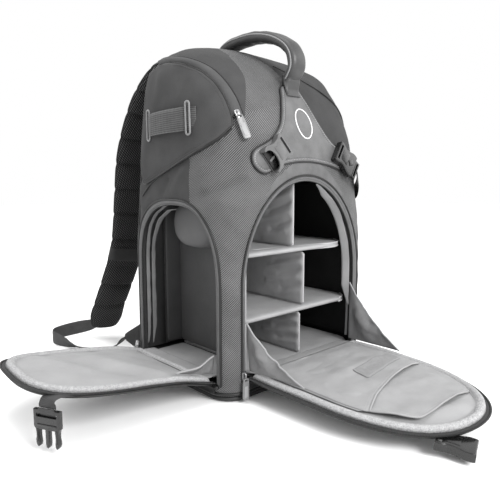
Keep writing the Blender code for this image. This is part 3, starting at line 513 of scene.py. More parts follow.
def pillow(name, outline, place, thick, mats, body="root", spacing=0.006, rim=0.008, lift=0.0, wrinkle=None,
           rows=(0.0012, 0.0035), zone=None, shape=None, under=1.0):
    """A padded plate: two crowned faces that meet round its edge. place(p, q, lift) puts it in space."""
    edge = resample(outline, spacing * 0.8, True)
    flat, faces = triangulate(edge, spacing, rim=rows)
    d = distance(flat, edge)
    d[d < 1e-6] = 0
    t = np.clip(d / rim, 0, 1)
    height = thick / 2 * np.sqrt(np.maximum(1 - (1 - t) ** 2, 0))
    low_height = height * under
    if shape is not None:
        height = np.where(d > 0, shape(flat, d), 0)
    rough = np.array([wrinkle(x, y) for x, y in flat]) * np.clip(d / 0.012, 0, 1) if wrinkle else 0 * d
    top = place(flat[:, 0], flat[:, 1], lift + height + rough)
    low = place(flat[:, 0], flat[:, 1], lift - low_height + rough * 0.4)
    border = d == 0
    faces = faces[~border[faces].all(axis=1)]
    n = len(flat)
    other = np.arange(n) + n
    other[border] = np.arange(n)[border]
    verts = np.vstack([top, low])
    both = np.vstack([faces, other[faces][:, ::-1]])
    used = np.unique(both)
    index = np.full(2 * n, -1)
    index[used] = np.arange(len(used))
    slots = None
    if zone is not None:
        middle = flat[faces].mean(axis=1)
        md = distance(middle, edge)
        one = np.array(zone(middle, md), dtype=int)
        slots = np.concatenate([one, one])
    uv = np.vstack([flat, flat])
    return make(name, verts[used], index[both], mats, uvs=uv[used], slots=slots, body=body)


def faced(thing, mat, test):
    """Another cloth on the faces whose middle and normal pass a test."""
    thing.data.materials.append(mat)
    last = len(thing.data.materials) - 1
    for face in thing.data.polygons:
        if test(face.center, face.normal):
            face.material_index = last


def fractal(x, y, z=0.0, size=0.03):
    """Smooth noise about -1 to 1, with folds of about the given size."""
    p = Vector((x / size, y / size, z / size))
    return noise.noise(p) + 0.4 * noise.noise(p * 2.3 + Vector((5, 3, 1)))


def crease(x, y, line, width, height):
    """A soft ridge (or, with a minus, a furrow) along a short line."""
    a, b = np.array(line[0]), np.array(line[1])
    p = np.array((x, y))
    d = b - a
    t = ((p - a) @ d) / (d @ d)
    off = np.linalg.norm(p - a - np.clip(t, 0, 1) * d)
    over = max(0, -t, t - 1) * np.linalg.norm(d)
    return height * math.exp(-(off / width) ** 2) * math.exp(-(over / (2 * width)) ** 2)


def beads(name, points, ups, size, mat, body="root"):
    """Small rounded blocks along a line, such as zip teeth or stitches. size is (along, across, high)."""
    p = np.array(points, float)
    ahead = np.gradient(p, axis=0)
    ahead = unit(ahead)
    ups = np.broadcast_to(np.array(ups, float), p.shape)
    ups = ups - ahead * (ups * ahead).sum(axis=1, keepdims=True)
    ups = unit(ups)
    side = np.cross(ahead, ups)
    l, w, h = (s / 2 for s in size)
    shape = [(-l, -w * 0.6, 0), (-l, w * 0.6, 0), (l, w * 0.6, 0), (l, -w * 0.6, 0),
             (-l * 0.6, -w, h), (-l * 0.6, w, h), (l * 0.6, w, h), (l * 0.6, -w, h),
             (-l * 0.6, -w * 0.6, 2 * h), (-l * 0.6, w * 0.6, 2 * h), (l * 0.6, w * 0.6, 2 * h),
             (l * 0.6, -w * 0.6, 2 * h)]
    quads = [(0, 1, 2, 3), (8, 11, 10, 9)]
    for low in (0, 4):
        quads += [(low + k, low + 4 + k, low + 4 + (k + 1) % 4, low + (k + 1) % 4) for k in range(4)]
    s = np.array(shape)
    verts = (p[:, None] + s[None, :, :1] * ahead[:, None] + s[None, :, 1:2] * side[:, None]
             + s[None, :, 2:] * ups[:, None]).reshape(-1, 3)
    base = np.arange(len(p))[:, None, None] * 12
    faces = (base + np.array(quads)[None]).reshape(-1, 4)
    return make(name, verts, faces, mat, body=body)


def sewn(name, row, place, depths, size, mat, body="root"):
    """Beads along a row of (p, q). place puts them at the first depth; the second shows which way is up."""
    low, high = (place(row[:, 0], row[:, 1], depth) for depth in depths)
    return beads(name, low, high - low, size, mat, body)



# ---- materials ------------------------------------------------------------------------
class Shader:
    """A Principled material under construction; its coordinates are metres."""

    def __init__(self, name, roughness=0.8, metallic=0.0, sheen=0.0, coat=0.0, specular=0.5, sheen_roughness=0.5):
        self.mat = bpy.data.materials.new(name)
        self.mat.use_nodes = True
        self.tree = self.mat.node_tree
        self.bsdf = self.tree.nodes["Principled BSDF"]
        for key, value in (("Roughness", roughness), ("Metallic", metallic), ("Sheen Weight", sheen),
                           ("Coat Weight", coat), ("Specular IOR Level", specular),
                           ("Sheen Roughness", sheen_roughness)):
            self.bsdf.inputs[key].default_value = value
        self.uv = self.node("ShaderNodeUVMap", uv_map="UVMap").outputs["UV"]
        self.place = self.node("ShaderNodeTexCoord").outputs["Object"]

    def node(self, kind, inputs=(), **props):
        made = self.tree.nodes.new(kind)
        for key, value in props.items():
            setattr(made, key, value)
        for key, value in dict(inputs).items():
            if isinstance(value, bpy.types.NodeSocket):
                self.tree.links.new(value, made.inputs[key])
            else:
                made.inputs[key].default_value = value
        return made

    def math(self, kind, a, b=0.0, c=0.0, clamp=False):
        return self.node("ShaderNodeMath", {0: a, 1: b, 2: c}, operation=kind, use_clamp=clamp).outputs[0]

    def noise(self, size, where=None, detail=2.0, rough=0.5):
        """Noise from 0 to 1 whose features are about the given size in metres."""
        return self.node("ShaderNodeTexNoise", {"Vector": where or self.place, "Scale": 1 / size, "Detail": detail,
                                                "Roughness": rough}).outputs[0]

    def warped(self, size, amount):
        """The UV coordinates shifted about a little."""
        shift = self.node("ShaderNodeTexNoise", {"Vector": self.place, "Scale": 1 / size,
                                                 "Detail": 1.0}).outputs["Color"]
        shift = self.node("ShaderNodeVectorMath", {0: shift, 1: (0.5, 0.5, 0.5)}, operation="SUBTRACT").outputs[0]
        shift = self.node("ShaderNodeVectorMath", {0: shift, "Scale": amount}, operation="SCALE").outputs[0]
        return self.node("ShaderNodeVectorMath", {0: self.uv, 1: shift}, operation="ADD").outputs[0]

    def stripe(self, where, angle, pitch, sharp=1.0):
        """Ridges from 0 to 1 across the given angle."""
        t = math.radians(angle)
        k = TAU / pitch
        along = self.node("ShaderNodeVectorMath", {0: where, 1: (k * math.cos(t), k * math.sin(t), 0)},
                          operation="DOT_PRODUCT").outputs["Value"]
        wave = self.math("MULTIPLY_ADD", self.math("SINE", along), 0.5, 0.5)
        return wave if sharp == 1.0 else self.math("POWER", wave, sharp)

    def colour(self, share, dark, light):
        """Paint from dark to light by a share."""
        ramp = self.node("ShaderNodeValToRGB", {"Fac": share})
        ramp.color_ramp.elements[0].color = (*dark, 1)
        ramp.color_ramp.elements[1].color = (*light, 1)
        self.tree.links.new(ramp.outputs[0], self.bsdf.inputs["Base Color"])
        return self

    def bump(self, height, distance, strength=1.0, after=None):
        inputs = {"Height": height, "Distance": distance, "Strength": strength}
        if after is not None:
            inputs["Normal"] = after
        out = self.node("ShaderNodeBump", inputs).outputs[0]
        self.tree.links.new(out, self.bsdf.inputs["Normal"])
        return out

    def rough(self, share, low, high):
        out = self.node("ShaderNodeMapRange", {"Value": share, "To Min": low, "To Max": high}).outputs[0]
        self.tree.links.new(out, self.bsdf.inputs["Roughness"])
        return self


def grey(v):
    """A neutral grey with a trace of blue."""
    return (v, v, v * 1.01)


def twill(name, angle, dark, light, pitch=0.0021):
    """Coarse diagonal twill: bright cords with dark gaps, crossed by fine threads."""
    s = Shader(name, 0.62, specular=0.32)
    where = s.warped(0.05, 0.0012)
    cord = s.stripe(where, angle, pitch)
    cross = s.stripe(where, angle + 78, pitch * 0.62)
    high = s.math("MULTIPLY_ADD", cross, 0.28, s.math("MULTIPLY", cord, 0.72))
    cloud = s.math("SUBTRACT", s.noise(0.05, detail=3.0), 0.5)
    tone = s.math("MULTIPLY_ADD", cloud, 0.5, s.math("MULTIPLY_ADD", high, 1.35, -0.22), clamp=True)
    s.colour(tone, grey(dark), grey(light))
    s.bump(high, 0.00055, 1.0)
    return s.mat


def plain(name, dark, light, pitch=0.0011):
    """Plain weave: two fine crossed threads, with slow changes of tone."""
    s = Shader(name, 0.72, specular=0.22)
    where = s.warped(0.02, 0.0004)
    weave = s.math("MULTIPLY", s.stripe(where, 0, pitch), s.stripe(where, 90, pitch))
    tone = s.math("MULTIPLY_ADD", s.noise(0.03, detail=4.0), 0.62, s.math("MULTIPLY_ADD", weave, 0.35, 0.02),
                  clamp=True)
    s.colour(tone, grey(dark), grey(light))
    first = s.bump(s.noise(0.006, detail=3.0), 0.0005, 0.25)
    s.bump(weave, 0.00010, 0.8, first)
    return s.mat


def terry(name, dark, light, size=0.0016):
    """Looped pile."""
    s = Shader(name, 0.95, sheen=0.05, specular=0.15)
    loops = s.node("ShaderNodeTexVoronoi", {"Vector": s.place, "Scale": 1 / size}).outputs["Distance"]
    fuzz = s.math("MULTIPLY_ADD", s.noise(0.0009, detail=3.0), 0.6, s.math("MULTIPLY", loops, -0.5))
    tone = s.math("MULTIPLY_ADD", s.noise(0.004, detail=2.0), 0.5, s.math("ADD", fuzz, 0.25), clamp=True)
    s.colour(tone, grey(dark), grey(light))
    s.bump(fuzz, 0.0009, 0.9)
    return s.mat


def air_mesh(name, dark, light, angle=52, plane=None):
    """Spacer mesh: slanted rows of open cells, over the UV map or over x and z."""
    s = Shader(name, 0.85, specular=0.12)
    where = s.warped(0.03, 0.0008)
    if plane:
        split = s.node("ShaderNodeSeparateXYZ", {0: s.place})
        where = s.node("ShaderNodeCombineXYZ", {0: split.outputs[0], 1: split.outputs[2]}).outputs[0]
    rows = s.stripe(where, angle, 0.0031, 1.6)
    cells = s.stripe(where, angle - 64, 0.0038, 0.8)
    high = s.math("MULTIPLY_ADD", cells, 0.4, s.math("MULTIPLY", rows, 0.7))
    tone = s.math("POWER", s.math("MULTIPLY_ADD", high, 1.15, -0.16, clamp=True), 1.7)
    s.colour(tone, grey(dark), grey(light))
    s.bump(high, 0.0009, 1.0)
    return s.mat


def webbing(name, dark, light, pitch=0.0016, angle=90):
    """Woven tape: ribs across it with a fine herringbone."""
    s = Shader(name, 0.6, specular=0.25)
    ribs = s.stripe(s.uv, angle, pitch)
    fine = s.stripe(s.uv, angle + 62, pitch * 0.55)
    high = s.math("MULTIPLY_ADD", fine, 0.3, s.math("MULTIPLY", ribs, 0.7))
    tone = s.math("MULTIPLY_ADD", s.noise(0.01, detail=3.0), 0.35, s.math("MULTIPLY_ADD", high, 0.7, -0.05), clamp=True)
    s.colour(tone, grey(dark), grey(light))
    s.bump(high, 0.00025, 0.8)
    return s.mat


def moulded(name, dark, light, roughness=0.38, coat=0.0):
    """Moulded plastic with a faint spark-eroded grain."""
    s = Shader(name, roughness, coat=coat, specular=0.35)
    s.colour(s.noise(0.012, detail=4.0), grey(dark), grey(light))
    s.rough(s.noise(0.004, detail=3.0), roughness - 0.07, roughness + 0.1)
    s.bump(s.noise(0.0009, detail=2.0), 0.00006, 0.5)
    return s.mat


def grained(name, dark, light, roughness=0.6, size=0.0011, sheen=0.0, depth=0.00012):
    """Coated cloth with a fine pebble grain."""
    s = Shader(name, roughness, sheen=sheen, specular=0.4)
    cells = s.node("ShaderNodeTexVoronoi", {"Vector": s.place, "Scale": 1 / size}).outputs["Distance"]
    tone = s.math("MULTIPLY_ADD", s.noise(0.018, detail=4.0), 0.75, s.math("MULTIPLY", cells, 0.2), clamp=True)
    s.colour(tone, grey(dark), grey(light))
    s.bump(cells, depth, 0.6)
    return s.mat


def nylon(name, dark, light, cloud=0.045):
    """Thin lining cloth: very fine weave, small puckers."""
    s = Shader(name, 0.62, sheen=0.04, specular=0.25)
    weave = s.math("MULTIPLY", s.stripe(s.uv, 0, 0.0008), s.stripe(s.uv, 90, 0.0008))
    tone = s.math("MULTIPLY_ADD", s.noise(cloud, detail=4.0), 0.7, s.math("MULTIPLY_ADD", weave, 0.25, 0.0), clamp=True)
    s.colour(tone, grey(dark), grey(light))
    first = s.bump(s.noise(0.010, detail=3.0, rough=0.6), 0.0012, 0.35)
    s.bump(weave, 0.00008, 0.6, first)
    return s.mat


TWILL = twill("shell_twill", -48, 0.006, 0.175)
TWILL_TURNED = twill("shell_twill_turned", 46, 0.006, 0.175)
RIBS = twill("shell_ribs", 44, 0.003, 0.155, 0.0029)
SIDE = plain("side_cloth", 0.022, 0.068)
SHOULDER = plain("shoulder_cloth", 0.014, 0.058, 0.0014)
BACK = plain("back_cloth", 0.010, 0.030)
BASE = grained("base_cloth", 0.012, 0.035)
PATCH_CLOTH = grained("patch_cloth", 0.040, 0.15, 0.46, 0.0010)
HANDLE_CLOTH = grained("handle_cloth", 0.020, 0.060, 0.42, 0.0016, 0.0, 0.00006)
PIPING = grained("piping", 0.004, 0.012, 0.45, 0.0006)
BAND_CLOTH = plain("band_cloth", 0.035, 0.095, 0.0012)
# Lighter binding cloth. On the front edges of dividers and shelves its extra lightness is a painted highlight where
# those edges catch light.
LIGHT_BINDING_PAINTED_HIGHLIGHT = nylon("light_binding_painted_highlight", 0.30, 0.48)
RING_PIPING = plain("ring_piping_cloth", 0.05, 0.20, 0.0012)
TAPE_CLOTH = webbing("zip_tape_cloth", 0.045, 0.20, 0.0018)
DARK_TAPE = webbing("dark_tape_cloth", 0.010, 0.050, 0.0016)
TEETH = moulded("zip_teeth", 0.012, 0.035, 0.4)
LINING = nylon("lining_cloth", 0.22, 0.37)
POCKET = nylon("pocket_cloth", 0.20, 0.345, cloud=0.03)
TERRY = terry("terry_rim", 0.13, 0.50)
DIVIDER = nylon("divider_cloth", 0.22, 0.40)
DARK_LINING = plain("dark_lining", 0.006, 0.018, 0.0012)
HOOD = plain("hood_cloth", 0.085, 0.15, 0.0009)
CELL_CLOTH = nylon("cell_cloth", 0.050, 0.095)
HEM = nylon("pocket_hem", 0.20, 0.36)
GUSSET_CLOTH = nylon("gusset_cloth", 0.10, 0.25, cloud=0.02)
LOOSE_TAPE = plain("loose_tape_cloth", 0.10, 0.30, 0.0012)
LOOP = terry("loop_pile", 0.15, 0.30, 0.0009)
AIR = air_mesh("air_mesh", 0.002, 0.100)
AIR_BACK = air_mesh("back_air_mesh", 0.002, 0.070, plane="xz")
STRAP_CLOTH = plain("strap_cloth", 0.016, 0.045, 0.0010)
WEB_SMOOTH = webbing("smooth_webbing", 0.014, 0.040, 0.0008)
STRAP_EDGE = plain("strap_binding", 0.014, 0.040, 0.0010)
WEB = webbing("webbing", 0.008, 0.075)
LIGHT_WEB = webbing("loop_webbing_cloth", 0.012, 0.110, 0.0026, 0)
BLACK = moulded("black_moulding", 0.004, 0.009, 0.26, 0.35)
GREY = moulded("grey_moulding", 0.060, 0.105, 0.34, 0.3)
SILVER_GREY = moulded("pull_moulding", 0.13, 0.20, 0.36, 0.2)
PULL_INLAY = moulded("pull_inlay", 0.22, 0.30, 0.45)
HANDLE_PIPING = nylon("handle_piping", 0.16, 0.30)
THREAD = plain("thread", 0.30, 0.45, 0.0005)
DARK_THREAD = plain("dark_thread", 0.03, 0.08, 0.0005)
WHITE = plain("emblem_thread", 0.75, 0.92, 0.0006)
BOARD = grained("board", 0.05, 0.08, 0.6)


def metal(name):
    """Cast zinc with soft wear."""
    s = Shader(name, 0.3, metallic=1.0)
    s.colour(s.noise(0.006, detail=4.0), grey(0.30), grey(0.52))
    s.rough(s.noise(0.002, detail=3.0), 0.22, 0.42)
    s.bump(s.noise(0.0012, detail=3.0), 0.00005, 0.5)
    return s.mat


METAL = metal("slider_metal")


# ---- body cloth -----------------------------------------------------------------------
def line_on_side(points, steps=8):
    """A smooth line on the left side, as (a, v)."""
    p = spline(points, steps)
    return np.stack([side_a(p[:, 0], p[:, 1]), v_of(p[:, 1])], axis=1)


def loop_of(points, side):
    """A closed line given on the side (y, z) or the front (x, z), as (a, v)."""
    p = np.array(points, float)
    a = side_a(p[:, 0], p[:, 1]) if side else p[:, 0]
    return np.stack([a, v_of(p[:, 1])], axis=1)


def unrolled(a, z):
    """The y of a place on the left, measured flat round the corners."""
    w, y0, _, rf, _ = limits(z)
    return np.abs(a) - (w - rf + rf * math.pi / 2) + y0 + rf


FRONT_HOLE = resample(loop_of(front_arch(TAPE), False), 0.0035, True)
SIDE_HOLE = resample(loop_of(side_arch(TAPE), True), 0.0035, True)
TOP_HOLE = resample(spline(loop_of(TOP_OPENING, True), 6, True), 0.005, True)
SEAM = [(0.074, 0.262), (0.050, 0.281)] + PANEL_SEAM + [(-0.106, 0.352)]
SEAM_LINE = line_on_side(sorted(SEAM)[::-1], 8)
CLOTH_EDGE = line_on_side([(-0.044, 0.268), (-0.044, 0.290), (-0.046, 0.314)], 6)
RIB_EDGE = line_on_side([(-0.121, 0.366), (-0.120, 0.391), (-0.116, 0.418), (-0.100, 0.442), (-0.070, 0.462)], 5)
CHEVRON = np.array([(-0.112, v_of(0.368)), (-0.085, v_of(0.377)), (-0.060, v_of(0.384)), (-0.040, v_of(0.388))])
SHOULDER_LOW, SHOULDER_HIGH, SIDE_EDGE, SHOULDER_SIDE = 0.300, 0.320, 0.128, 0.100


def back_turn(z):
    """Where the back cloth starts, measured round from the front's middle."""
    return half_round(z) - half_width(z) + 0.018


def brow_line():
    """The upper edge of the smooth band over the front opening."""
    hole = FRONT_HOLE[np.argsort(np.arctan2(FRONT_HOLE[:, 1] - v_of(0.180), FRONT_HOLE[:, 0]))]
    top = hole[(z_of(hole[:, 1]) > 0.262) & (np.abs(hole[:, 0]) < 0.102)]
    way = top - np.array([0.0, v_of(0.180)])
    way = unit(way)
    return top, top + way * np.maximum(0.024 - 0.22 * np.abs(top[:, :1]), 0.0012)


BROW_LOW, BROW = brow_line()
EDGE_Z = np.linspace(SHELL_BOTTOM + 0.003, BODY_TOP - 0.012, 120)
BACK_EDGES = [np.stack([side * back_turn(EDGE_Z), v_of(EDGE_Z)], axis=1) for side in (1, -1)]
RIGHT_EDGE = np.array([(SIDE_EDGE, v_of(z)) for z in np.linspace(SHELL_BOTTOM + 0.003, SHOULDER_LOW, 80)])
SHOULDER_EDGE = np.array([(0.004, v_of(SHOULDER_HIGH)), (SHOULDER_SIDE, v_of(SHOULDER_HIGH)),
                          (SHOULDER_SIDE, v_of(SHOULDER_LOW)),
                          (SIDE_EDGE, v_of(SHOULDER_LOW)), (float(back_turn(SHOULDER_LOW)) - 0.001,
                                                            v_of(SHOULDER_LOW))])
SHOULDER_EDGE = resample(SHOULDER_EDGE, 0.004)
RIGHT_EDGE = RIGHT_EDGE[:-1]
CREASES = [  # on the left and front, flat: (from, to, width, height)
    (((-0.073, 0.271), (-0.128, 0.289)), 0.0050, -0.0022), (((-0.080, 0.277), (-0.130, 0.296)), 0.0060, 0.0014),
    (((-0.098, 0.262), (-0.132, 0.252)), 0.0060, 0.0016), (((-0.102, 0.236), (-0.128, 0.214)), 0.0060, -0.0014),
    (((-0.104, 0.206), (-0.126, 0.190)), 0.0055, 0.0013), (((-0.104, 0.170), (-0.130, 0.160)), 0.0050, -0.0012),
    (((-0.102, 0.120), (-0.128, 0.132)), 0.0060, 0.0013), (((-0.104, 0.080), (-0.126, 0.066)), 0.0055, -0.0013),
    (((-0.010, 0.276), (-0.034, 0.302)), 0.0070, 0.0020), (((0.020, 0.268), (0.006, 0.290)), 0.0060, -0.0018),
    (((0.050, 0.262), (0.064, 0.246)), 0.0060, 0.0018), (((-0.070, 0.300), (-0.100, 0.330)), 0.0070, 0.0012),
    (((0.088, 0.300), (0.070, 0.250)), 0.0060, 0.0016), (((0.098, 0.210), (0.096, 0.150)), 0.0050, -0.0012),
]


def cloth_height(a, z):
    """How far the soft cloth stands off the body's true form."""
    y = float(unrolled(a, z))
    high = 0.0012 * fractal(a, z, 1.0 if a > 0 else 0.0, 0.042) + 0.0004 * fractal(a, z, 3.0, 0.016)
    if a < 0:
        for line, width, height in CREASES:
            if abs(y - (line[0][0] + line[1][0]) / 2) < 0.06 and abs(z - (line[0][1] + line[1][1]) / 2) < 0.05:
                high += 1.4 * crease(y, z, line, width, height)
    else:
        high += 0.0012 * fractal(a * 0.6, z * 1.3, 7.0, 0.035)
    return high


def cloth_zone(flat):
    """Which cloth covers each place: 0 twill, 1 turned twill, 2 ribs, 3 side, 4 shoulder, 5 back, 6 band."""
    a, z = flat[:, 0], z_of(flat[:, 1])
    y = unrolled(a, z)
    left = a < 0
    v = flat[:, 1]
    zone = np.zeros(len(a), dtype=int)
    above = v > np.interp(a, SEAM_LINE[:, 0], SEAM_LINE[:, 1])
    zone[left & (y > -0.106) & above] = 3
    zone[left & ~above & (a < np.interp(v, CLOTH_EDGE[:, 1], CLOTH_EDGE[:, 0])) & (z > 0.18)] = 3
    zone[left & (y > 0.060)] = 3
    behind = a < np.interp(v, RIB_EDGE[:, 1], RIB_EDGE[:, 0])
    high = z > 0.366
    zone[left & high & behind] = 3
    zone[left & high & ~behind & (v > np.interp(a, CHEVRON[:, 0], CHEVRON[:, 1]))] = 2
    zone[~left & ((z > SHOULDER_HIGH) | (z > SHOULDER_LOW) & (a > SHOULDER_SIDE))] = 4
    zone[~left & (z <= SHOULDER_LOW) & (a > SIDE_EDGE)] = 3
    zone[inside(flat, np.vstack([BROW, BROW_LOW[::-1]]))] = 6
    zone[np.abs(a) > back_turn(z)] = 5
    return zone


def body_cloth():
    """The whole outer skin: cut flat, creased, zoned into its cloths and wrapped round the body."""
    zs = z_of(np.linspace(v_of(SHELL_BOTTOM), v_of(BODY_TOP), 110))
    turn = half_round(zs)
    left = np.stack([-turn, v_of(zs)], axis=1)
    right = np.stack([turn, v_of(zs)], axis=1)
    low = np.linspace(-turn[0], turn[0], 190)[1:-1]
    high = np.linspace(turn[-1], -turn[-1], 24)[1:-1]
    outline = np.vstack([left[::-1], np.stack([low, np.full_like(low, v_of(SHELL_BOTTOM))], axis=1), right,
                         np.stack([high, np.full_like(high, v_of(BODY_TOP))], axis=1)])

    def fine(points, h):
        row = np.round((points[:, 1] - points[:, 1].min()) / (0.87 * h)).astype(int)
        col = np.floor(points[:, 0] / h).astype(int)
        keep = (points[:, 0] > -0.42) & (points[:, 0] < 0.14) | (row % 2 == 0) & (col % 2 == 0)
        return points[keep]

    holes = (FRONT_HOLE, SIDE_HOLE, TOP_HOLE)
    flat, faces = triangulate(outline, 0.0038, holes, (CLOTH_EDGE, RIB_EDGE, CHEVRON, BROW, RIGHT_EDGE, SHOULDER_EDGE,
                                                       *BACK_EDGES), fine)
    z = z_of(flat[:, 1])
    near = np.minimum(np.minimum(distance(flat, FRONT_HOLE), distance(flat, SIDE_HOLE)), distance(flat, TOP_HOLE))
    near = np.minimum(near, np.abs(half_round(z) - np.abs(flat[:, 0])))
    soft = np.clip(near / 0.012, 0, 1) * np.clip((z - SHELL_BOTTOM) / 0.02, 0, 1) * np.clip((BODY_TOP - z) / 0.03, 0, 1)
    lift = np.array([cloth_height(a, h) for a, h in zip(flat[:, 0], z)]) * soft
    verts = skin(flat[:, 0], z, lift)
    mats = [TWILL, TWILL_TURNED, RIBS, SIDE, SHOULDER, BACK, PATCH_CLOTH]
    made = make("body_cloth", verts, faces, mats, uvs=flat, slots=cloth_zone(flat[faces].mean(axis=1)))
    work = bmesh.new()
    work.from_mesh(made.data)
    bmesh.ops.remove_doubles(work, verts=work.verts, dist=2e-5)
    rim = [e for e in work.edges if e.is_boundary and min(v.co.z for v in e.verts) > BODY_TOP - 1e-4]
    if rim:
        bmesh.ops.contextual_create(work, geom=rim)
    bmesh.ops.recalc_face_normals(work, faces=work.faces)
    work.to_mesh(made.data)
    work.free()
    made.data.shade_smooth()
    finished("body_shell")
    return made


def wall_inside(name, low, high, mat, holes):
    """The cloth that lines the inside of the body's wall between two heights."""
    zs = np.linspace(low, high, 28)
    turn = np.array([float(half_round(z, WALL)) for z in zs])
    left = np.stack([-turn, zs], axis=1)
    right = np.stack([turn, zs], axis=1)
    foot = np.linspace(-turn[0], turn[0], 90)[1:-1]
    head = np.linspace(turn[-1], -turn[-1], 90)[1:-1]
    outline = np.vstack([left[::-1], np.stack([foot, np.full_like(foot, low)], axis=1), right,
                         np.stack([head, np.full_like(head, high)], axis=1)])
    flat, faces = triangulate(outline, 0.010, holes)
    verts = skin(flat[:, 0], flat[:, 1], 0.0, WALL)
    made = make(name, verts, faces, mat, uvs=flat)
    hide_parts("body_shell")
    return made


def ring_inside(outline):
    """An opening in the left wall as (a, z) on the wall's inner face."""
    p = np.array(outline, float)
    return resample(np.stack([side_a(p[:, 0], p[:, 1], -1, WALL), p[:, 1]], axis=1), 0.006, True)


def deck(name, z, thick, inset, mat):
    """A flat cloth floor or ceiling across the body."""
    turn = half_round(z, inset)
    ring = [skin(a, z, 0.0, inset)[:2] for a in np.linspace(-turn, turn, 121)[:-1]]

    def place(p, q, lift):
        return np.stack([p, q, z + lift], axis=-1)

    made = pillow(name, ring, place, thick, mat, spacing=0.014, rim=thick / 2,
                  wrinkle=lambda x, y: 0.0004 * fractal(x, y, 2, 0.03))
    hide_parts("body_shell")
    return made


def on_body(a, v, lift):
    """A place on the skin from (a, v)."""
    return skin(a, z_of(v), lift)


def band(name, inner, outer, mat, crown, columns, low):
    """A tape between two lines of (a, v); crown lifts its middle, and low is its (inner, outer) lift."""
    rows = []
    for p, q in zip(inner, outer):
        row = []
        for k in range(columns):
            t = k / (columns - 1)
            m = p + (q - p) * t
            lift = low[0] + (low[1] - low[0]) * t + crown * math.sin(math.pi * t)
            row.append(on_body(m[0], m[1], lift))
        rows.append(row)
    return grid(name, rows, mat, uv_turn=True)


def skin_line(line, lift=0.0):
    """A line of (a, v) as points on the skin."""
    p = np.array(line, float)
    return on_body(p[:, 0], p[:, 1], lift)


def wall_edge(name, line, lifts):
    """The cut edge of the wall along a line of (a, v)."""
    return grid(name, [[on_body(p[0], p[1], lift) for lift in lifts] for p in line], DARK_TAPE)


def opening(prefix, arch_of, side, node):
    """The edge of an opening: piping, a crowned tape with teeth, piping again, and the wall's cut edge."""
    edges = [loop_of(arch_of(grow), side) for grow in (0.0, TAPE)]
    count = min(len(resample(edge, 0.0030)) for edge in edges)
    inner, outer = (evened(edge, count) for edge in edges)
    made = [band(prefix + "_zip_ring", inner, outer, TAPE_CLOTH, 0.0016, 9, (-0.0030, 0.0002))]
    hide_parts(node)
    normal = skin_line(outer, 0.001) - skin_line(outer, 0.0)
    made.append(tube(prefix + "_outer_piping", skin_line(outer, 0.0006), 0.0017, PIPING, hint=normal[0]))
    made.append(tube(prefix + "_inner_piping", skin_line(inner, -0.0024), 0.0012, RING_PIPING, hint=normal[0]))
    teeth_line = resample(skin_line(inner + (outer - inner) * -0.10, -0.0042), 0.0016)
    share = (len(normal) - 1) / max(len(teeth_line) - 1, 1)
    ups = np.array([normal[int(round(k * share))] for k in range(len(teeth_line))])
    made.append(beads(prefix + "_zip_teeth", teeth_line, ups, (0.0009, 0.0034, 0.0020), TEETH))
    made.append(wall_edge(prefix + "_cut_edge", inner, (-0.0025, -0.0055, -0.0085)))
    return inner


def piped(name, line, radius):
    """Piping along a line of (a, v)."""
    made = tube(name, resample(skin_line(line, radius * 0.45), 0.0025), radius, PIPING)


def stitches(name, outline, by, lift, mat, body, length, gap):
    """A row of stitches inside a closed outline of (a, v)."""
    line = shrunk(outline, by)
    line = np.vstack([line, line[:1]])
    low = resample(skin_line(line, lift), gap)
    high = resample(skin_line(line, lift + 0.002), gap)
    n = min(len(low), len(high))
    made = beads(name, low[:n], high[:n] - low[:n], (length, 0.00065, 0.00045), mat, body)


body_cloth()
MAIN_LOW, MAIN_HIGH = 0.0225, 0.3045
in_front = resample(loop_of(front_arch(TAPE - 0.001), False), 0.006, True)
in_front = np.stack([in_front[:, 0], z_of(in_front[:, 1])], axis=1)
in_side = ring_inside(side_arch(TAPE - 0.001))
main_wall = wall_inside("main_wall_lining", MAIN_LOW, MAIN_HIGH, DARK_LINING, (in_front, in_side))
faced(main_wall, CELL_CLOTH, lambda middle, _: middle.x < -0.090 and middle.y > -0.080)
wall_inside("top_wall_lining", 0.3155, 0.462, DARK_LINING, (ring_inside(spline(TOP_OPENING, 6, True)),))
deck("main_ceiling", 0.3095, 0.009, 0.0085, DARK_LINING)
deck("main_floor_cloth", 0.0160, 0.010, 0.006, DARK_LINING)
deck("top_ceiling", 0.466, 0.004, 0.010, DARK_LINING)
FRONT_IN = opening("front", front_arch, False, "front_zip_tape")
SIDE_IN = opening("side", side_arch, True, "side_zip_tape")


def loose_tape(name, line, keep, inward, by, depth, mat, seed, wavy=0.0014):
    """Lining tape that hangs a little loose along part of an opening. inward is the way into the
    opening, as a sign; by and depth are (near, far)."""
    line = resample(line[keep], 0.0030)
    if offset_line(line, 0.01)[len(line) // 4, 0] * inward < line[len(line) // 4, 0] * inward:
        line = line[::-1]
    rows = []
    for k in range(len(line)):
        wave = wavy * fractal(k * 0.0030, 0.0, seed, 0.024)
        wide = min(1.0, 0.15 + min(k, len(line) - 1 - k) / 12)
        row = []
        for share in np.linspace(0, 1, 7):
            q = offset_line(line, by[0] + (by[1] - by[0]) * share * wide + wave)[k]
            row.append(skin(q[0], z_of(q[1]), depth[0] + (depth[1] - depth[0]) * share * wide + wave * share
                            + 0.0012 * math.sin(math.pi * share)))
        rows.append(row)
    made = grid(name, rows, mat)
    thickened(made, 0.0009)


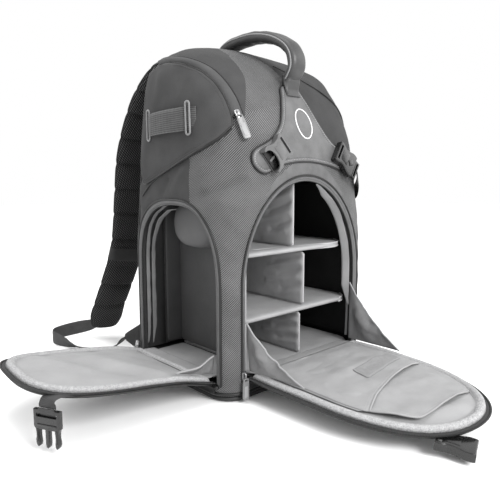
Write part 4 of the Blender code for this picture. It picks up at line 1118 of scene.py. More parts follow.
side_z, front_z = z_of(SIDE_IN[:, 1]), z_of(FRONT_IN[:, 1])
rear = (unrolled(SIDE_IN[:, 0], side_z) > SIDE_MID_Y + 0.012) & (side_z > 0.036)
loose_tape("side_loose_tape_outer", SIDE_IN, rear, 1, (0.0006, 0.0016), (-0.0098, -0.0150), LOOSE_TAPE, 81)
loose_tape("side_loose_tape_inner", SIDE_IN, rear, 1, (0.0070, 0.0084), (-0.0170, -0.0225), LOOSE_TAPE, 85, 0.0020)
right_side = (FRONT_IN[:, 0] > 0.030) & (front_z > 0.088)
loose_tape("front_loose_tape", FRONT_IN, right_side, -1, (0.0004, 0.0034), (-0.0095, -0.0225), LIGHT_BINDING_PAINTED_HIGHLIGHT, 89)
made = wall_edge("top_opening_edge", np.vstack([TOP_HOLE, TOP_HOLE[:1]]), (0.0, -0.004, -0.0085))

# sills under the two openings
for name, p0, p1 in (("front_sill", (-0.1215, -0.1185, 0.0262), (0.1215, -0.1185, 0.0262)),
                     ("side_sill", (-0.1505, -0.1005, 0.0212), (-0.1505, 0.0925, 0.0212))):
    line = np.linspace(p0, p1, 60)
    made = tube(name + "_binding", line, 0.0024, PIPING, flat=0.8)

# base: a coated tray with a bound edge
turn = half_round(0.018)
ring = [skin(a, 0.018, -0.003)[:2] for a in np.linspace(-turn, turn, 161)[:-1]]
base = pillow("base_tray", ring, lambda p, q, lift: np.stack([p, q, 0.0034 + lift], axis=-1), 0.0066, BASE,
              spacing=0.012, rim=0.004)
finished("base_panel")
BASE_SEAM, SEAM_POINTS = 0.0115, 260
turn = half_round(BASE_SEAM) - 1e-4
around = np.linspace(-turn, turn, SEAM_POINTS)
piped("base_piping", np.stack([around, np.full(SEAM_POINTS, v_of(BASE_SEAM))], axis=1), 0.0019)

# seams on the left
piped("side_seam_piping", SEAM_LINE, 0.0013)
back_seam = line_on_side([(0.094, 0.020), (0.096, 0.120), (0.090, 0.200), (0.078, 0.290), (0.066, 0.370),
                          (0.056, 0.420), (0.046, 0.446)], 10)
piped("back_seam_left", back_seam, 0.0017)
piped("back_seam_right", back_seam * np.array([-1, 1]), 0.0017)
shoulder_seam = [(0.010, 0.455), (0.060, 0.430), (0.118, 0.392), (0.160, 0.345), (0.186, 0.300)]
piped("shoulder_seam", spline([(a, v_of(z)) for a, z in shoulder_seam], 12), 0.0012)


# ---- top zip and panel ----------------------------------------------------------------
zip_path = resample(spline(ZIP_LINE + [(0.034, 0.4495)], 12), 0.0024)
zip_mid = np.stack([side_a(zip_path[:, 0], zip_path[:, 1]), v_of(zip_path[:, 1])], axis=1)
zip_low, zip_high = offset_line(zip_mid, -0.0092), offset_line(zip_mid, 0.0084)
if z_of(zip_high[20, 1]) < z_of(zip_low[20, 1]):
    zip_low, zip_high = zip_high, zip_low
tape = band("top_zip_band", zip_low, zip_high, BAND_CLOTH, 0.0030, 11, (0.0006, 0.0006))
finished("top_zip_tape")
piped("top_zip_piping_high", zip_high, 0.0013)
tooth_line = zip_low + (zip_mid - zip_low) * 0.08
teeth = resample(skin_line(tooth_line, 0.0008), 0.0016)
tips = resample(skin_line(tooth_line, 0.0028), 0.0016)
count = min(len(teeth), len(tips))
made = beads("top_zip_teeth", teeth[:count], tips[:count] - teeth[:count], (0.0009, 0.0026, 0.0008), TEETH)
middle = (zip_low[0] + zip_high[0]) / 2 + np.array([0.0, -0.004])
made = tube("top_zip_stop", resample(skin_line([zip_low[0], middle, zip_high[0]], 0.0012), 0.001), 0.0013, PIPING)

panel_outline = resample(loop_of(PANEL_ARC + PANEL_BACK + PANEL_SEAM, True), 0.004, True)
panel_outline = resample(spline(panel_outline[::3], 4, True), 0.0035, True)
PANEL_LIFT = 0.0034
PANEL_CREASES = [  # as (y, z): (from, to), width, height
    (((0.010, 0.425), (0.052, 0.330)), 0.010, 0.0013), (((-0.060, 0.400), (-0.092, 0.350)), 0.008, 0.0012),
    (((-0.004, 0.430), (-0.012, 0.402)), 0.005, -0.0010), (((0.014, 0.430), (0.018, 0.396)), 0.005, 0.0010),
    (((-0.040, 0.418), (-0.030, 0.396)), 0.005, 0.0009),
]


def panel_wave(a, v):
    """Waves and creases of the top panel."""
    z = float(z_of(v))
    y = float(unrolled(a, z))
    return 0.0010 * fractal(y, z, 4, 0.035) + sum(crease(y, z, *fold) for fold in PANEL_CREASES)


panel = pillow("top_panel_cloth", panel_outline, lambda a, v, lift: on_body(a, v, PANEL_LIFT + lift), 0.0030, SIDE,
               body="top_panel", spacing=0.0050, rim=0.005, wrinkle=panel_wave)
finished("top_panel")
edge = resample(panel_outline, 0.0026, True)
made = tube("top_panel_piping", skin_line(edge, PANEL_LIFT - 0.0002), 0.0014, PIPING, "top_panel", closed=True)
stitches("top_panel_stitches", edge, 0.0050, PANEL_LIFT + 0.0014, DARK_THREAD, "top_panel", 0.0022, 0.0034)


# ---- front patch ----------------------------------------------------------------------
ring = spline(PATCH, 6, True)
patch_outline = resample(np.stack([ring[:, 0], v_of(ring[:, 1])], axis=1), 0.0035, True)
PATCH_LIFT = 0.0022
patch = pillow("patch_cloth_piece", patch_outline, lambda a, v, lift: on_body(a, v, PATCH_LIFT + lift), 0.0026,
               PATCH_CLOTH, spacing=0.005, rim=0.004, wrinkle=lambda a, v: 0.0005 * fractal(a, v, 6, 0.030))
finished("front_patch")
made = tube("patch_piping", skin_line(patch_outline, 0.0016), 0.0015, PIPING, closed=True)
for k, (by, mat) in enumerate(((0.0032, THREAD), (0.0056, DARK_THREAD))):
    stitches(f"patch_stitches_{k}", patch_outline, by, PATCH_LIFT + 0.0011, mat, "root", 0.0020, 0.0032)
OVAL_X, OVAL_V, OVAL_HALF_WIDE, OVAL_HALF_HIGH = 0.004, v_of(0.366), 0.0155, 0.0215
oval = [(OVAL_HALF_WIDE * math.cos(t) + OVAL_X,
         OVAL_V + OVAL_HALF_HIGH * math.sin(t)) for t in np.linspace(0, TAU, 90)[:-1]]
made = tube("patch_emblem", skin_line(oval, PATCH_LIFT + 0.0014), 0.0008, WHITE, closed=True, sides=6)


# ---- hatches --------------------------------------------------------------------------
def swung(tilt):
    """The two shares of a hatch's direction when it lies open at a tilt."""
    t = math.radians(90 - tilt)
    return math.cos(t), math.sin(t)


FRONT_C, FRONT_S = swung(FRONT_TILT)
SIDE_C, SIDE_S = swung(SIDE_TILT)


def front_wave(x, z):
    """How far the open front hatch's cloth rises or sags from flat."""
    h = np.clip((z - FRONT_SILL) / 0.262, 0, 1)
    ease = np.clip(h * 5, 0, 1)
    return ease * (0.0022 * np.sin(x * 26 + 1.0) * h + 0.0030 * np.sin(h * 5.2 + x * 9) * (0.4 + 0.6 * h)
                   + 0.0035 * np.clip((x - 0.03) / 0.09, 0, 1) * h)


def front_place(x, z, depth):
    """A place on the open front hatch; depth runs from its outer face to its inside."""
    x, z, depth = spread(x, z, depth)
    d, h = depth + front_wave(x, z), z - FRONT_SILL
    return np.stack([x, FRONT_Y + d * FRONT_C - h * FRONT_S, FRONT_SILL + d * FRONT_S + h * FRONT_C], axis=-1)


def side_wave(y, z):
    """How far the open camera hatch's cloth rises or sags from flat, rounded at its front corner."""
    h = np.clip((z - SIDE_SILL) / 0.234, 0, 1)
    ease = np.clip(h * 5, 0, 1)
    _, front, _, corner, _ = limits(z)
    over = np.clip(front + corner - y, 0, 0.98 * corner)
    rounded = corner - np.sqrt(corner * corner - over * over)
    return ease * (rounded + 0.0025 * np.sin(y * 30 + 0.6) * h + 0.0028 * np.sin(h * 5.0 + 0.5) - 0.0030 * h * h)


def side_place(y, z, depth):
    """A place on the open camera hatch; depth runs from its outer face to its inside."""
    y, z, depth = spread(y, z, depth)
    d, h = depth + side_wave(y, z), z - SIDE_SILL
    return np.stack([SIDE_X + d * SIDE_C - h * SIDE_S, y, SIDE_SILL + d * SIDE_S + h * SIDE_C], axis=-1)


PAD_BASE = 0.0046
ROLL = 0.0056
ROLL_HIGH = 0.0058
FIELD_HIGH = 0.0038


def pad_height(_, d):
    """A hatch's padding: a fat roll round its edge, a sewn valley, then the soft field."""
    roll = ROLL_HIGH * np.sqrt(np.clip(1 - ((d - ROLL) / ROLL) ** 2, 0, 1)) ** 0.8
    inner = np.clip((d - 2 * ROLL) / 0.022, 0, 1)
    field = 0.0018 + (FIELD_HIGH - 0.0018) * inner * inner * (3 - 2 * inner)
    return np.where(d < 2 * ROLL - 0.0006, np.maximum(roll, 0.0012), field)


def hatch(prefix, arch_of, place, folds):
    """One padded hatch: cloth shell, piping, zip tape with teeth, and the padding inside it."""
    body = prefix
    shell = pillow(prefix + "_cloth", arch_of(-0.0055, 0.0015), place, 0.0040, TWILL, body, spacing=0.008,
                   rim=0.003, lift=0.0021)
    finished(prefix + "_shell")

    line = resample(arch_of(-0.0052, 0.002), 0.003)
    made = tube(prefix + "_piping", place(line[:, 0], line[:, 1], 0.0012), 0.0019, PIPING, body)
    outer = resample(arch_of(-0.0012, 0.0015), 0.003)
    inner = evened(resample(arch_of(-0.0110, 0.0015), 0.003), len(outer))
    rows = [[place(*(p + (q - p) * t), 0.0046 - 0.0014 * t + 0.0004 * math.sin(math.pi * t))
             for t in np.linspace(0, 1, 5)] for p, q in zip(inner, outer)]
    tape = grid(prefix + "_zip_tape", rows, DARK_TAPE, body, uv_turn=True)
    finished(prefix + "_zip_edge")
    for name, by, gap, depths, size, mat in (
            ("_zip_teeth", -0.0016, 0.0016, (0.0030, 0.0050), (0.0009, 0.0030, 0.0017), TEETH),
            ("_tape_stitches", -0.0072, 0.0034, (0.0040, 0.0060), (0.0021, 0.0006, 0.0004), THREAD)):
        made = sewn(prefix + name, resample(arch_of(by, 0.0015), gap), place, depths, size, mat, body)

    outline = arch_of(-0.0068, 0.0050)
    pad = pillow(prefix + "_padding", outline, place, 0.004, [TERRY, LINING], body, spacing=0.0048, rim=0.004,
                 lift=PAD_BASE, rows=(0.0012, 0.0030, 0.0056, 0.0084, 0.0106, 0.0118), shape=pad_height, under=0.15,
                 wrinkle=folds, zone=lambda m, d: (d > 2 * ROLL - 0.0008).astype(int))
    finished(prefix + "_lining")
    valley = resample(shrunk(resample(outline, 0.004, True), 2 * ROLL), 0.003, True)
    valley = valley[distance(valley, outline) > 2 * ROLL - 0.002]
    made = tube(prefix + "_valley_piping", place(valley[:, 0], valley[:, 1], PAD_BASE + 0.0016), 0.0009, LINING, body,
                closed=True, sides=6)


def front_folds(x, z):
    """Waves in the front hatch's lining."""
    return (0.0008 * fractal(x, z, 1, 0.035) + crease(x, z, ((-0.060, 0.225), (0.030, 0.262)), 0.009, 0.0020)
            + crease(x, z, ((-0.050, 0.246), (0.010, 0.270)), 0.006, -0.0014)
            + crease(x, z, ((0.010, 0.205), (0.080, 0.240)), 0.009, -0.0012))


def side_folds(y, z):
    """Waves in the camera hatch's lining."""
    return (0.0010 * fractal(y, z, 2, 0.032) + 1.3 * crease(y, z, ((-0.060, 0.085), (0.030, 0.135)), 0.012, 0.0022)
            + 1.5 * crease(y, z, ((-0.050, 0.120), (0.045, 0.180)), 0.012, -0.0014)
            + 1.5 * crease(y, z, ((-0.020, 0.165), (0.055, 0.205)), 0.010, 0.0016)
            + crease(y, z, ((0.010, 0.060), (0.060, 0.110)), 0.010, -0.0012))


hatch("front_flap", front_arch, front_place, front_folds)
hatch("side_flap", side_arch, side_place, side_folds)


def lower_mouth(x):
    """The height of the long pocket's mouth, rounded down at its left end."""
    return 0.243 - 0.055 * np.clip((-0.050 - x) / 0.036, 0, 1) ** 2.2


def upper_mouth(x):
    """The height of the short pocket's mouth, which climbs to the left."""
    return 0.157 + 0.037 * ((0.1 - x) / 0.18) ** 2


def pocket(name, mouth, grow, depth, bulge, gape, seed, node):
    """A loose pocket on the front hatch, sewn round its edge, piped along its mouth and gaping there."""
    edge = np.array(resample(front_arch(grow, 0.008), 0.004))
    kept = edge[edge[:, 1] < mouth(edge[:, 0])]
    left, right = kept[kept[:, 0] < 0], kept[kept[:, 0] > 0]
    xs = np.linspace(left[-1, 0], right[0, 0], 52)[1:-1]
    head = edge[edge[:, 1] > FRONT_SPRING]
    top = resample(np.stack([xs, np.minimum(mouth(xs), np.interp(xs, head[:, 0], head[:, 1]))], axis=1), 0.004)
    foot = np.stack([np.linspace(right[-1, 0], left[0, 0], 46)[1:-1], np.full(44, left[0, 1])], axis=1)
    outline = np.vstack([left, top, right, foot])
    flat, faces = triangulate(outline, 0.0046)

    def height(p):
        p = np.atleast_2d(p)
        d = np.minimum(distance(p, left, False), distance(p, right, False))
        d = np.minimum(d, np.abs(p[:, 1] - left[0, 1]))
        t = np.clip(d / 0.034, 0, 1)
        near = np.clip(d / 0.006, 0, 1)
        open_by = np.clip(1 - (mouth(p[:, 0]) - p[:, 1]) / 0.045, 0, 1) ** 2
        waves = np.array([fractal(x * 0.8, z * 1.5, seed, 0.030) for x, z in p])
        pull = np.array([crease(x, z, ((-0.07, mouth(x) - 0.070), (0.06, mouth(x) - 0.045)), 0.009, 1.0)
                         - 0.8 * crease(x, z, ((-0.05, mouth(x) - 0.100), (0.07, mouth(x) - 0.080)), 0.009, 1.0) for x,
                         z in p])
        return depth + bulge * t * t * (3 - 2 * t) + gape * open_by * t + near * (0.0014 * waves + 0.0017 * pull)

    verts = front_place(flat[:, 0], flat[:, 1], height(flat))
    made = make(name, verts, faces, POCKET, uvs=flat, body="front_flap")
    thickened(made, 0.0010)
    finished(node)
    line = resample(top, 0.0025)
    pipe = tube(name + "_piping", front_place(line[:, 0], line[:, 1], height(line)), 0.0013, HEM, "front_flap")
    for k, by in enumerate((0.0034, 0.0062)):
        below = offset_line(line, -by)
        high = height(below)
        seam = sewn(f"{name}_stitches_{k}", below, front_place, (high + 0.0004, high + 0.0024),
                    (0.0014, 0.0005, 0.0004), THREAD, "front_flap")
    return height


pocket("pocket_lower_cloth", lower_mouth, -0.020, 0.0088, 0.0022, 0.0028, 11, "front_flap_pocket_lower")
upper_height = pocket("pocket_upper_cloth", upper_mouth, -0.022, 0.0100, 0.0022, 0.0032, 15, "front_flap_pocket_upper")


def strip_place(x, z, lift):
    """A place on the short pocket's outer face."""
    return front_place(x, z, upper_height(np.stack([x, z], axis=-1)) + 0.0010 + lift)


strip = resample([(-0.012, 0.120), (0.089, 0.108), (0.084, 0.134), (-0.018, 0.149)], 0.004, True)
made = pillow("pocket_loop_strip", strip, strip_place, 0.0016, LOOP, "front_flap", spacing=0.005, rim=0.0015,
              rows=(0.0010,))
finished("front_flap_loop_strip")
inset = resample(shrunk(strip, 0.0022), 0.0030, True)
made = sewn("loop_strip_stitches", inset, strip_place, (0.0006, 0.0026), (0.0018, 0.0005, 0.0004), THREAD, "front_flap")


def hinge_cloth(name, path, half, mat, child, wave):
    """The fold of cloth between the body and a hatch."""
    rows = []
    for t in np.linspace(-1, 1, 70):
        row = []
        for out, up in resample(path, 0.0016):
            up += 0.0005 * fractal(t * half * 1.4, out, 5, 0.016) * wave
            row.append((t * half, out, up) if child == "front_flap" else (out, SIDE_MID_Y + t * half, up))
        rows.append(row)
    made = grid(name, rows, mat, body=None)
    thickened(made, 0.0010)
    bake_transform(made)


hinge_cloth("front_hinge_lining",
            [(-0.1000, 0.0306), (-0.1060, 0.0316), (-0.1120, 0.0330), (-0.1200, 0.0345), (-0.1290, 0.0350),
             (-0.1340, 0.0352)],
            0.1040, LINING, "front_flap", 1.0)
hinge_cloth("front_hinge_cloth",
            [(-0.1186, 0.0150), (-0.1192, 0.0200), (-0.1204, 0.0246), (-0.1235, 0.0272), (-0.1300, 0.0274)],
            0.1150, BACK, "front_flap", 0.1)
hinge_cloth("side_hinge_lining",
            [(-0.1340, 0.0302), (-0.1400, 0.0304), (-0.1460, 0.0306), (-0.1530, 0.0312), (-0.1620, 0.0330),
             (-0.1680, 0.0346)],
            0.0790, LINING, "side_flap", 1.0)
hinge_cloth("side_hinge_cloth",
            [(-0.1500, 0.0120), (-0.1508, 0.0160), (-0.1522, 0.0200), (-0.1560, 0.0228), (-0.1620, 0.0244)],
            0.0900, BACK, "side_flap", 0.1)


def gusset(name, corners, sag, node, seed, mat=GUSSET_CLOTH):
    """A triangle of thin cloth between the body's wall and a hatch, with a bound free edge."""
    top, heel, toe = (np.array(c, float) for c in corners)
    normal = np.cross(heel - top, toe - top)
    normal /= np.linalg.norm(normal)
    rows, steps = [], 22
    for i in range(steps + 1):
        t = i / steps
        free = top + (toe - top) * t
        free = free + (heel - free) * (sag * math.sin(math.pi * t))
        row = []
        for j in range(steps + 1):
            s = j / steps
            p = heel + (free - heel) * s
            ripples = 0.0045 * math.sin(9 * s + 4 * t) + 0.0050 * fractal(p[1] * 1.2, p[2], seed, 0.014)
            waves = math.sin(math.pi * t) * s * ripples
            row.append(p + normal * waves)
        rows.append(row)
    made = grid(name, rows, mat, body=None)
    thickened(made, 0.0009)
    finished(node)
    pipe = tube(name + "_binding", resample([row[-1] for row in rows], 0.003), 0.0012, HEM, body=None)
    for piece in (made, pipe):
        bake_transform(piece)


gusset("gusset_front_left", [(-0.1120, -0.1135, 0.104), (-0.1085, -0.1165, 0.0385), (-0.1010, -0.2050, 0.0385)], 0.20,
       "front_gusset_left", 21)
gusset("gusset_front_right", [(0.1110, -0.1135, 0.128), (0.1080, -0.1165, 0.0385), (0.1040, -0.2100, 0.0400)], 0.16,
       "front_gusset_right", 25)
gusset("gusset_side", [(-0.1465, -0.0890, 0.061), (-0.1490, -0.0880, 0.0370), (-0.2020, -0.0815, 0.0490)], 0.15,
       "side_gusset", 29, HOOD)


# ---- inside ---------------------------------------------------------------------------
MAIN_FLOOR, PAD_THICK = 0.022, 0.0078
INNER_FRONT, INNER_BACK, INNER_RIGHT = -0.0982, 0.080, 0.134
PARTITION_THICK, PARTITION_FOOT, PARTITION_TOP = 0.006, 0.031, 0.293
SHELVES = {"shelf_lower": 0.094, "shelf_upper": 0.184}
SHELF_THICK = 0.009
DIVIDERS = {"divider_lower": (0.010, 0.0306, 0.0936), "divider_middle": (0.018, 0.1034, 0.1836),
            "divider_upper": (-0.006, 0.1934, 0.2880)}
DIVIDER_THICK = 0.006
CELL_HIGH = MAIN_FLOOR + GAP


def partition_plan(front=-0.104, back=INNER_BACK):
    """The partition's middle line in plan, from front to back."""
    return resample([(partition_x(y), y) for y in np.linspace(front, back, 60)], 0.002)


def upright(line):
    """A place on an upright sheet that follows a line in plan."""
    run = run_along(line)
    ahead = np.gradient(line, axis=0)
    ahead = unit(ahead)

    def place(s, z, lift):
        s, z, lift = spread(s, z, lift)
        x, y = (np.interp(s, run, line[:, k]) for k in (0, 1))
        nx, ny = (np.interp(s, run, c) for c in (ahead[:, 1], -ahead[:, 0]))
        return np.stack([x + lift * nx, y + lift * ny, z], axis=-1)

    return place, run[-1]


def cell_plan(front, back, right, corner):
    """The lens side's plan, from the partition to the right, with a rounded front right corner."""
    out = [(x + PARTITION_THICK / 2 + 0.0006, y) for x, y in partition_plan(front, back)[::-1]]
    for k in range(13):
        a = math.radians(-90 + 90 * k / 12)
        out.append((right - corner + corner * math.cos(a), front + corner + corner * math.sin(a)))
    return out + [(right, back)]


def box_outline(x0, x1, z0, z1, r=0.004):
    """A rectangle with rounded corners, from its four sides."""
    out = []
    for cx, cz, start in ((x1 - r, z1 - r, 0), (x0 + r, z1 - r, 90), (x0 + r, z0 + r, 180), (x1 - r, z0 + r, 270)):
        for k in range(4):
            a = math.radians(start + 30 * k)
            out.append((cx + r * math.cos(a), cz + r * math.sin(a)))
    return out


def padded_sheet(name, outline, place, thick, node, mat, seed, swell=0.0007, spacing=0.006, edge=None,
                 folds=()):
    """A foam sheet covered in cloth, with small puckers and drag folds; edge is a line to bind."""
    def wrinkle(p, q):
        return swell * fractal(p, q, seed, 0.024) + sum(crease(p, q, *fold) for fold in folds)

    made = pillow(name, outline, place, thick, mat, spacing=spacing, rim=min(0.006, thick), rows=(0.001, 0.003),
                  wrinkle=wrinkle)
    finished(node)
    if edge is not None:
        line = resample(edge, 0.003)
        # The front edge's binding is lighter than the sheet: partly a light binding, partly a painted highlight for the
        # edge catching light.
        pipe = tube(name + "_binding", place(line[:, 0], line[:, 1], 0.0), thick * 0.42, LIGHT_BINDING_PAINTED_HIGHLIGHT, flat=0.8)
    return made


def make_inside():
    """The partition, shelves, dividers, floors and linings."""
    place, length = upright(partition_plan())
    made = padded_sheet("partition_cloth", box_outline(0.0012, length - 0.001, PARTITION_FOOT, PARTITION_TOP), place,
                 PARTITION_THICK - 0.0006, "cell_partition", DIVIDER, 31, 0.0009,
                 edge=[(0.0020, PARTITION_FOOT + 0.002), (0.0020, PARTITION_TOP - 0.004)])
    faced(made, CELL_CLOTH, lambda middle, normal: normal.x < -0.2)
    for name, z in SHELVES.items():
        corner = 0.052 if name == "shelf_upper" else 0.030
        plan_line = cell_plan(INNER_FRONT, INNER_BACK, INNER_RIGHT, corner)
        middle = z + SHELF_THICK / 2

        def level(x, y, lift, middle=middle):
            x, y, lift = spread(x, y, lift)
            return np.stack([x, y, middle + lift], axis=-1)

        padded_sheet(name + "_cloth", plan_line, level, SHELF_THICK - 0.0012, name, DIVIDER, 37,
                     0.0008)
        edge = resample([p for p in plan_line if p[1] < INNER_FRONT + corner * 0.7 and p[0] > -0.09], 0.003)
        edge = edge[np.argsort(edge[:, 0])]
        # Bindings along the shelf's front edge, lighter than the shelf: partly a light tape, partly a painted highlight
        # on the edge.
        for k, up in enumerate((SHELF_THICK / 2 - 0.0016, -SHELF_THICK / 2 + 0.0016)):
            pipe = tube(f"{name}_binding_{k}", level(edge[:, 0], edge[:, 1] + 0.0008, up), 0.0013, LIGHT_BINDING_PAINTED_HIGHLIGHT)
    for name, (x, low, high) in DIVIDERS.items():
        front, back = INNER_FRONT + 0.003, INNER_BACK
        bend = 0.0025 if name == "divider_upper" else 0.0015

        def stand(y, z, lift, x=x, low=low, high=high, bend=bend):
            y, z, lift = spread(y, z, lift)
            bow = 0.0012 * np.sin((y + 0.1) * 30) * np.sin(math.pi * (z - low) / (high - low))
            return np.stack([x + DIVIDER_THICK / 2 - lift + bow * bend / 0.0025, y, z], axis=-1)

        drags = [(((front + 0.004, low + share * (high - low)), (front + reach, low + (share - 0.16) * (high - low))),
                  0.0036, 1.5 * deep)
                 for share, reach, deep in ((0.92, 0.060, -0.0016), (0.80, 0.070, 0.0014), (0.68, 0.050, -0.0015),
                                            (0.52, 0.075, 0.0013), (0.40, 0.045, -0.0014), (0.26, 0.060, 0.0012))]
        padded_sheet(name + "_cloth", box_outline(front, back, low, high), stand, DIVIDER_THICK - 0.001, name, DIVIDER,
                     41, 0.0009, spacing=0.0032, folds=drags,
                     edge=[(front + 0.0014, low + 0.002), (front + 0.0014, high - 0.003)])
    floor_level = CELL_HIGH + PAD_THICK / 2

    def on_floor(x, y, lift):
        x, y, lift = spread(x, y, lift)
        return np.stack([x, y, floor_level + lift], axis=-1)

    padded_sheet("floor_cloth", cell_plan(-0.106, INNER_BACK, INNER_RIGHT, 0.030), on_floor, PAD_THICK - 0.0006,
                 "compartment_floor", LINING, 43, 0.0010)
    left = [(x - PARTITION_THICK / 2 - 0.0006, y) for x, y in partition_plan(-0.090, 0.070)[::-1] if y > -0.080]
    base = left + [(-0.1365, -0.078), (-0.1380, -0.066), (-0.1380, 0.060), (-0.132, 0.070)]
    padded_sheet("base_pad_cloth", base, on_floor, PAD_THICK - 0.0006, "camera_cell_base_pad", LINING,
                 47, 0.0010)

    def lean(x, z, lift):
        x, z, lift = spread(x, z, lift)
        return np.stack([x, 0.0824 - lift, z], axis=-1)

    made = padded_sheet("back_lining_cloth", box_outline(-0.104, 0.104, 0.0306, 0.290), lean, 0.0032, "lining_back",
                        DARK_LINING,
                 53, 0.0005, spacing=0.009)
    faced(made, CELL_CLOTH, lambda middle, _: middle.x < partition_x(0.080) + 0.006)

    def right_wall(y, z, lift):
        y, z, lift = spread(y, z, lift)
        return skin(side_a(y, z, 1), z, -(WALL + 0.0033) - lift)

    padded_sheet("right_lining_cloth", box_outline(-0.103, 0.059, 0.0316, 0.2855), right_wall, 0.0044, "lining_right",
                 DARK_LINING,
                 59, 0.0008)
    line = resample([(-0.0985, z) for z in (0.033, 0.284)], 0.004)
    wave = np.array([0.0011 * math.sin(z * 60) + 0.0007 * fractal(z, 0, 60, 0.012) for z in line[:, 1]])
    rows = [right_wall(line[:, 0] + across, line[:, 1], 0.0024 + high + wave * (1 - abs(across) / 0.005))
            for across, high in ((-0.0045, 0.0), (-0.0035, 0.0016), (-0.0010, 0.0024), (0.0020, 0.0022),
                                 (0.0040, 0.0012), (0.0045, 0.0))]
    edge = grid("right_lining_binding", rows, LIGHT_BINDING_PAINTED_HIGHLIGHT)
    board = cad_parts["back_frame_sheet"]
    board.data.materials.clear()
    board.data.materials.append(BOARD)


def swell(thing, voxel, pressure, most, held=None):
    """Blow a pad up as stuffed cloth: remesh, a short cloth run, a cap on each point's travel."""
    step = thing.modifiers.new("remesh", "REMESH")
    step.mode, step.voxel_size = "VOXEL", voxel
    apply(thing)
    start = np.array([v.co[:] for v in thing.data.vertices])
    cloth = thing.modifiers.new("cloth", "CLOTH")
    cloth.settings.use_pressure = True
    cloth.settings.uniform_pressure_force = pressure
    cloth.settings.effector_weights.gravity = 0
    cloth.settings.quality = 4
    cloth.collision_settings.use_collision = False
    if held is not None:
        group = thing.vertex_groups.new(name="held")
        group.add([int(i) for i in np.nonzero(held(start))[0]], 1.0, "REPLACE")
        cloth.settings.vertex_group_mass = "held"
    cloth.point_cache.frame_start, cloth.point_cache.frame_end = 1, 20
    for k in range(1, 21):
        bpy.context.scene.frame_set(k)
    apply(thing)
    bpy.context.scene.frame_set(1)
    thing.vertex_groups.clear()
    now = np.array([v.co[:] for v in thing.data.vertices])
    move = now - start
    far = np.linalg.norm(move, axis=1, keepdims=True)
    move *= np.minimum(1, most / np.maximum(far, 1e-9))
    thing.data.vertices.foreach_set("co", (start + move).astype(np.float32).ravel())
    subdivide(thing)
    thing.data.shade_smooth()
    return thing


def make_hood():
    """The stuffed brow over the camera."""
    rings = []
    for share, reach in ((0.95, 0.0010), (0.97, 0.0090), (0.97, 0.0180), (0.90, 0.0285), (0.70, 0.0335),
                         (0.40, 0.0352), (0.12, 0.0355)):
        ring = []
        for k in range(40):
            a = TAU * k / 40
            c, s = math.cos(a), math.sin(a)
            y = 0.006 + 0.050 * share * math.copysign(abs(c) ** 0.8, c)
            z = 0.2255 + 0.0365 * share * math.copysign(abs(s) ** 0.8, s)
            ring.append((partition_x(y) - PARTITION_THICK / 2 - GAP - reach, y, z))
        rings.append(ring)
    made = grid("hood_cloth", rings, HOOD, across=True, caps=True)
    swell(made, 0.0050, 3.0, 0.0020, lambda p: p[:, 0] > np.array([partition_x(y) for y in p[:, 1]]) - 0.0062)
    finished("camera_cell_hood")


make_inside()
make_hood()


# ---- buckles, sliders and eyelets -----------------------------------------------------
def facing(place, across, up):
    """A frame at a place whose x runs across and whose y runs up."""
    x = Vector(across).normalized()
    y = (Vector(up) - x * x.dot(Vector(up))).normalized()
    turn = Matrix((x, y, x.cross(y))).transposed().to_4x4()
    turn.translation = Vector(place)
    return turn


def prism_mesh(outline, low, high, bevel=0.0, segments=2):
    """An outline extruded between two depths, with its rims rounded."""
    work = bmesh.new()
    base = [work.verts.new((x, y, low)) for x, y in outline]
    face = work.faces.new(base)
    top = bmesh.ops.extrude_face_region(work, geom=[face])["geom"]
    bmesh.ops.translate(work, vec=(0, 0, high - low), verts=[g for g in top if isinstance(g, bmesh.types.BMVert)])
    bmesh.ops.recalc_face_normals(work, faces=work.faces)
    if bevel:
        rims = [e for e in work.edges if abs(e.verts[0].co.z - e.verts[1].co.z) < 1e-7]
        bmesh.ops.bevel(work, geom=rims, offset=bevel, segments=segments, affect="EDGES", profile=0.6)
    mesh = bpy.data.meshes.new("block")
    work.to_mesh(mesh)
    work.free()
    return mesh


THROUGH = (-0.01, 0.01)  # a cut that goes right through
SHARP_EDGE = 34  # degrees; moulded edges under this are smooth
HANG_TURN = 28  # degrees the side buckle is turned as it hangs


def moulding(name, outline, frame_at, low, high, bevel, mat, body, node, cuts=(), segments=2):
    """A moulded block in its own frame; cuts are taken from it."""
    thing = bpy.data.objects.new(name, prism_mesh(outline, low, high, bevel, segments))
    bpy.context.scene.collection.objects.link(thing)
    for shape in cuts:
        tool = bpy.data.objects.new("tool", prism_mesh(*shape))
        bpy.context.scene.collection.objects.link(tool)
        step = thing.modifiers.new("shape", "BOOLEAN")
        step.operation, step.object, step.solver = "DIFFERENCE", tool, "EXACT"
        apply(thing)
        mesh = tool.data
        bpy.data.objects.remove(tool)
        bpy.data.meshes.remove(mesh)
    thing.data.transform(frame_at)
    thing.data.materials.clear()
    thing.data.materials.append(mat)
    thing.data.shade_smooth()
    thing.data.set_sharp_from_angle(angle=math.radians(SHARP_EDGE))
    outward(thing.data)
    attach(thing, body)
    if node:
        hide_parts(node)


def both(half):
    """A right-hand outline with its mirror image."""
    return half + [(-x, y) for x, y in reversed(half)]


def slab_outline(w, h, r, steps=6):
    """A rounded rectangle about its middle."""
    w, h = w / 2, h / 2
    r = min(r, w * 0.98, h * 0.98)
    out = []
    for cx, cy, start in ((w - r, h - r, 0), (r - w, h - r, 90), (r - w, r - h, 180), (w - r, r - h, 270)):
        for k in range(steps + 1):
            a = math.radians(start + 90 * k / steps)
            out.append((cx + r * math.cos(a), cy + r * math.sin(a)))
    return out


def moved(outline, x, y):
    """An outline moved in its plane."""
    return [(p + x, q + y) for p, q in outline]


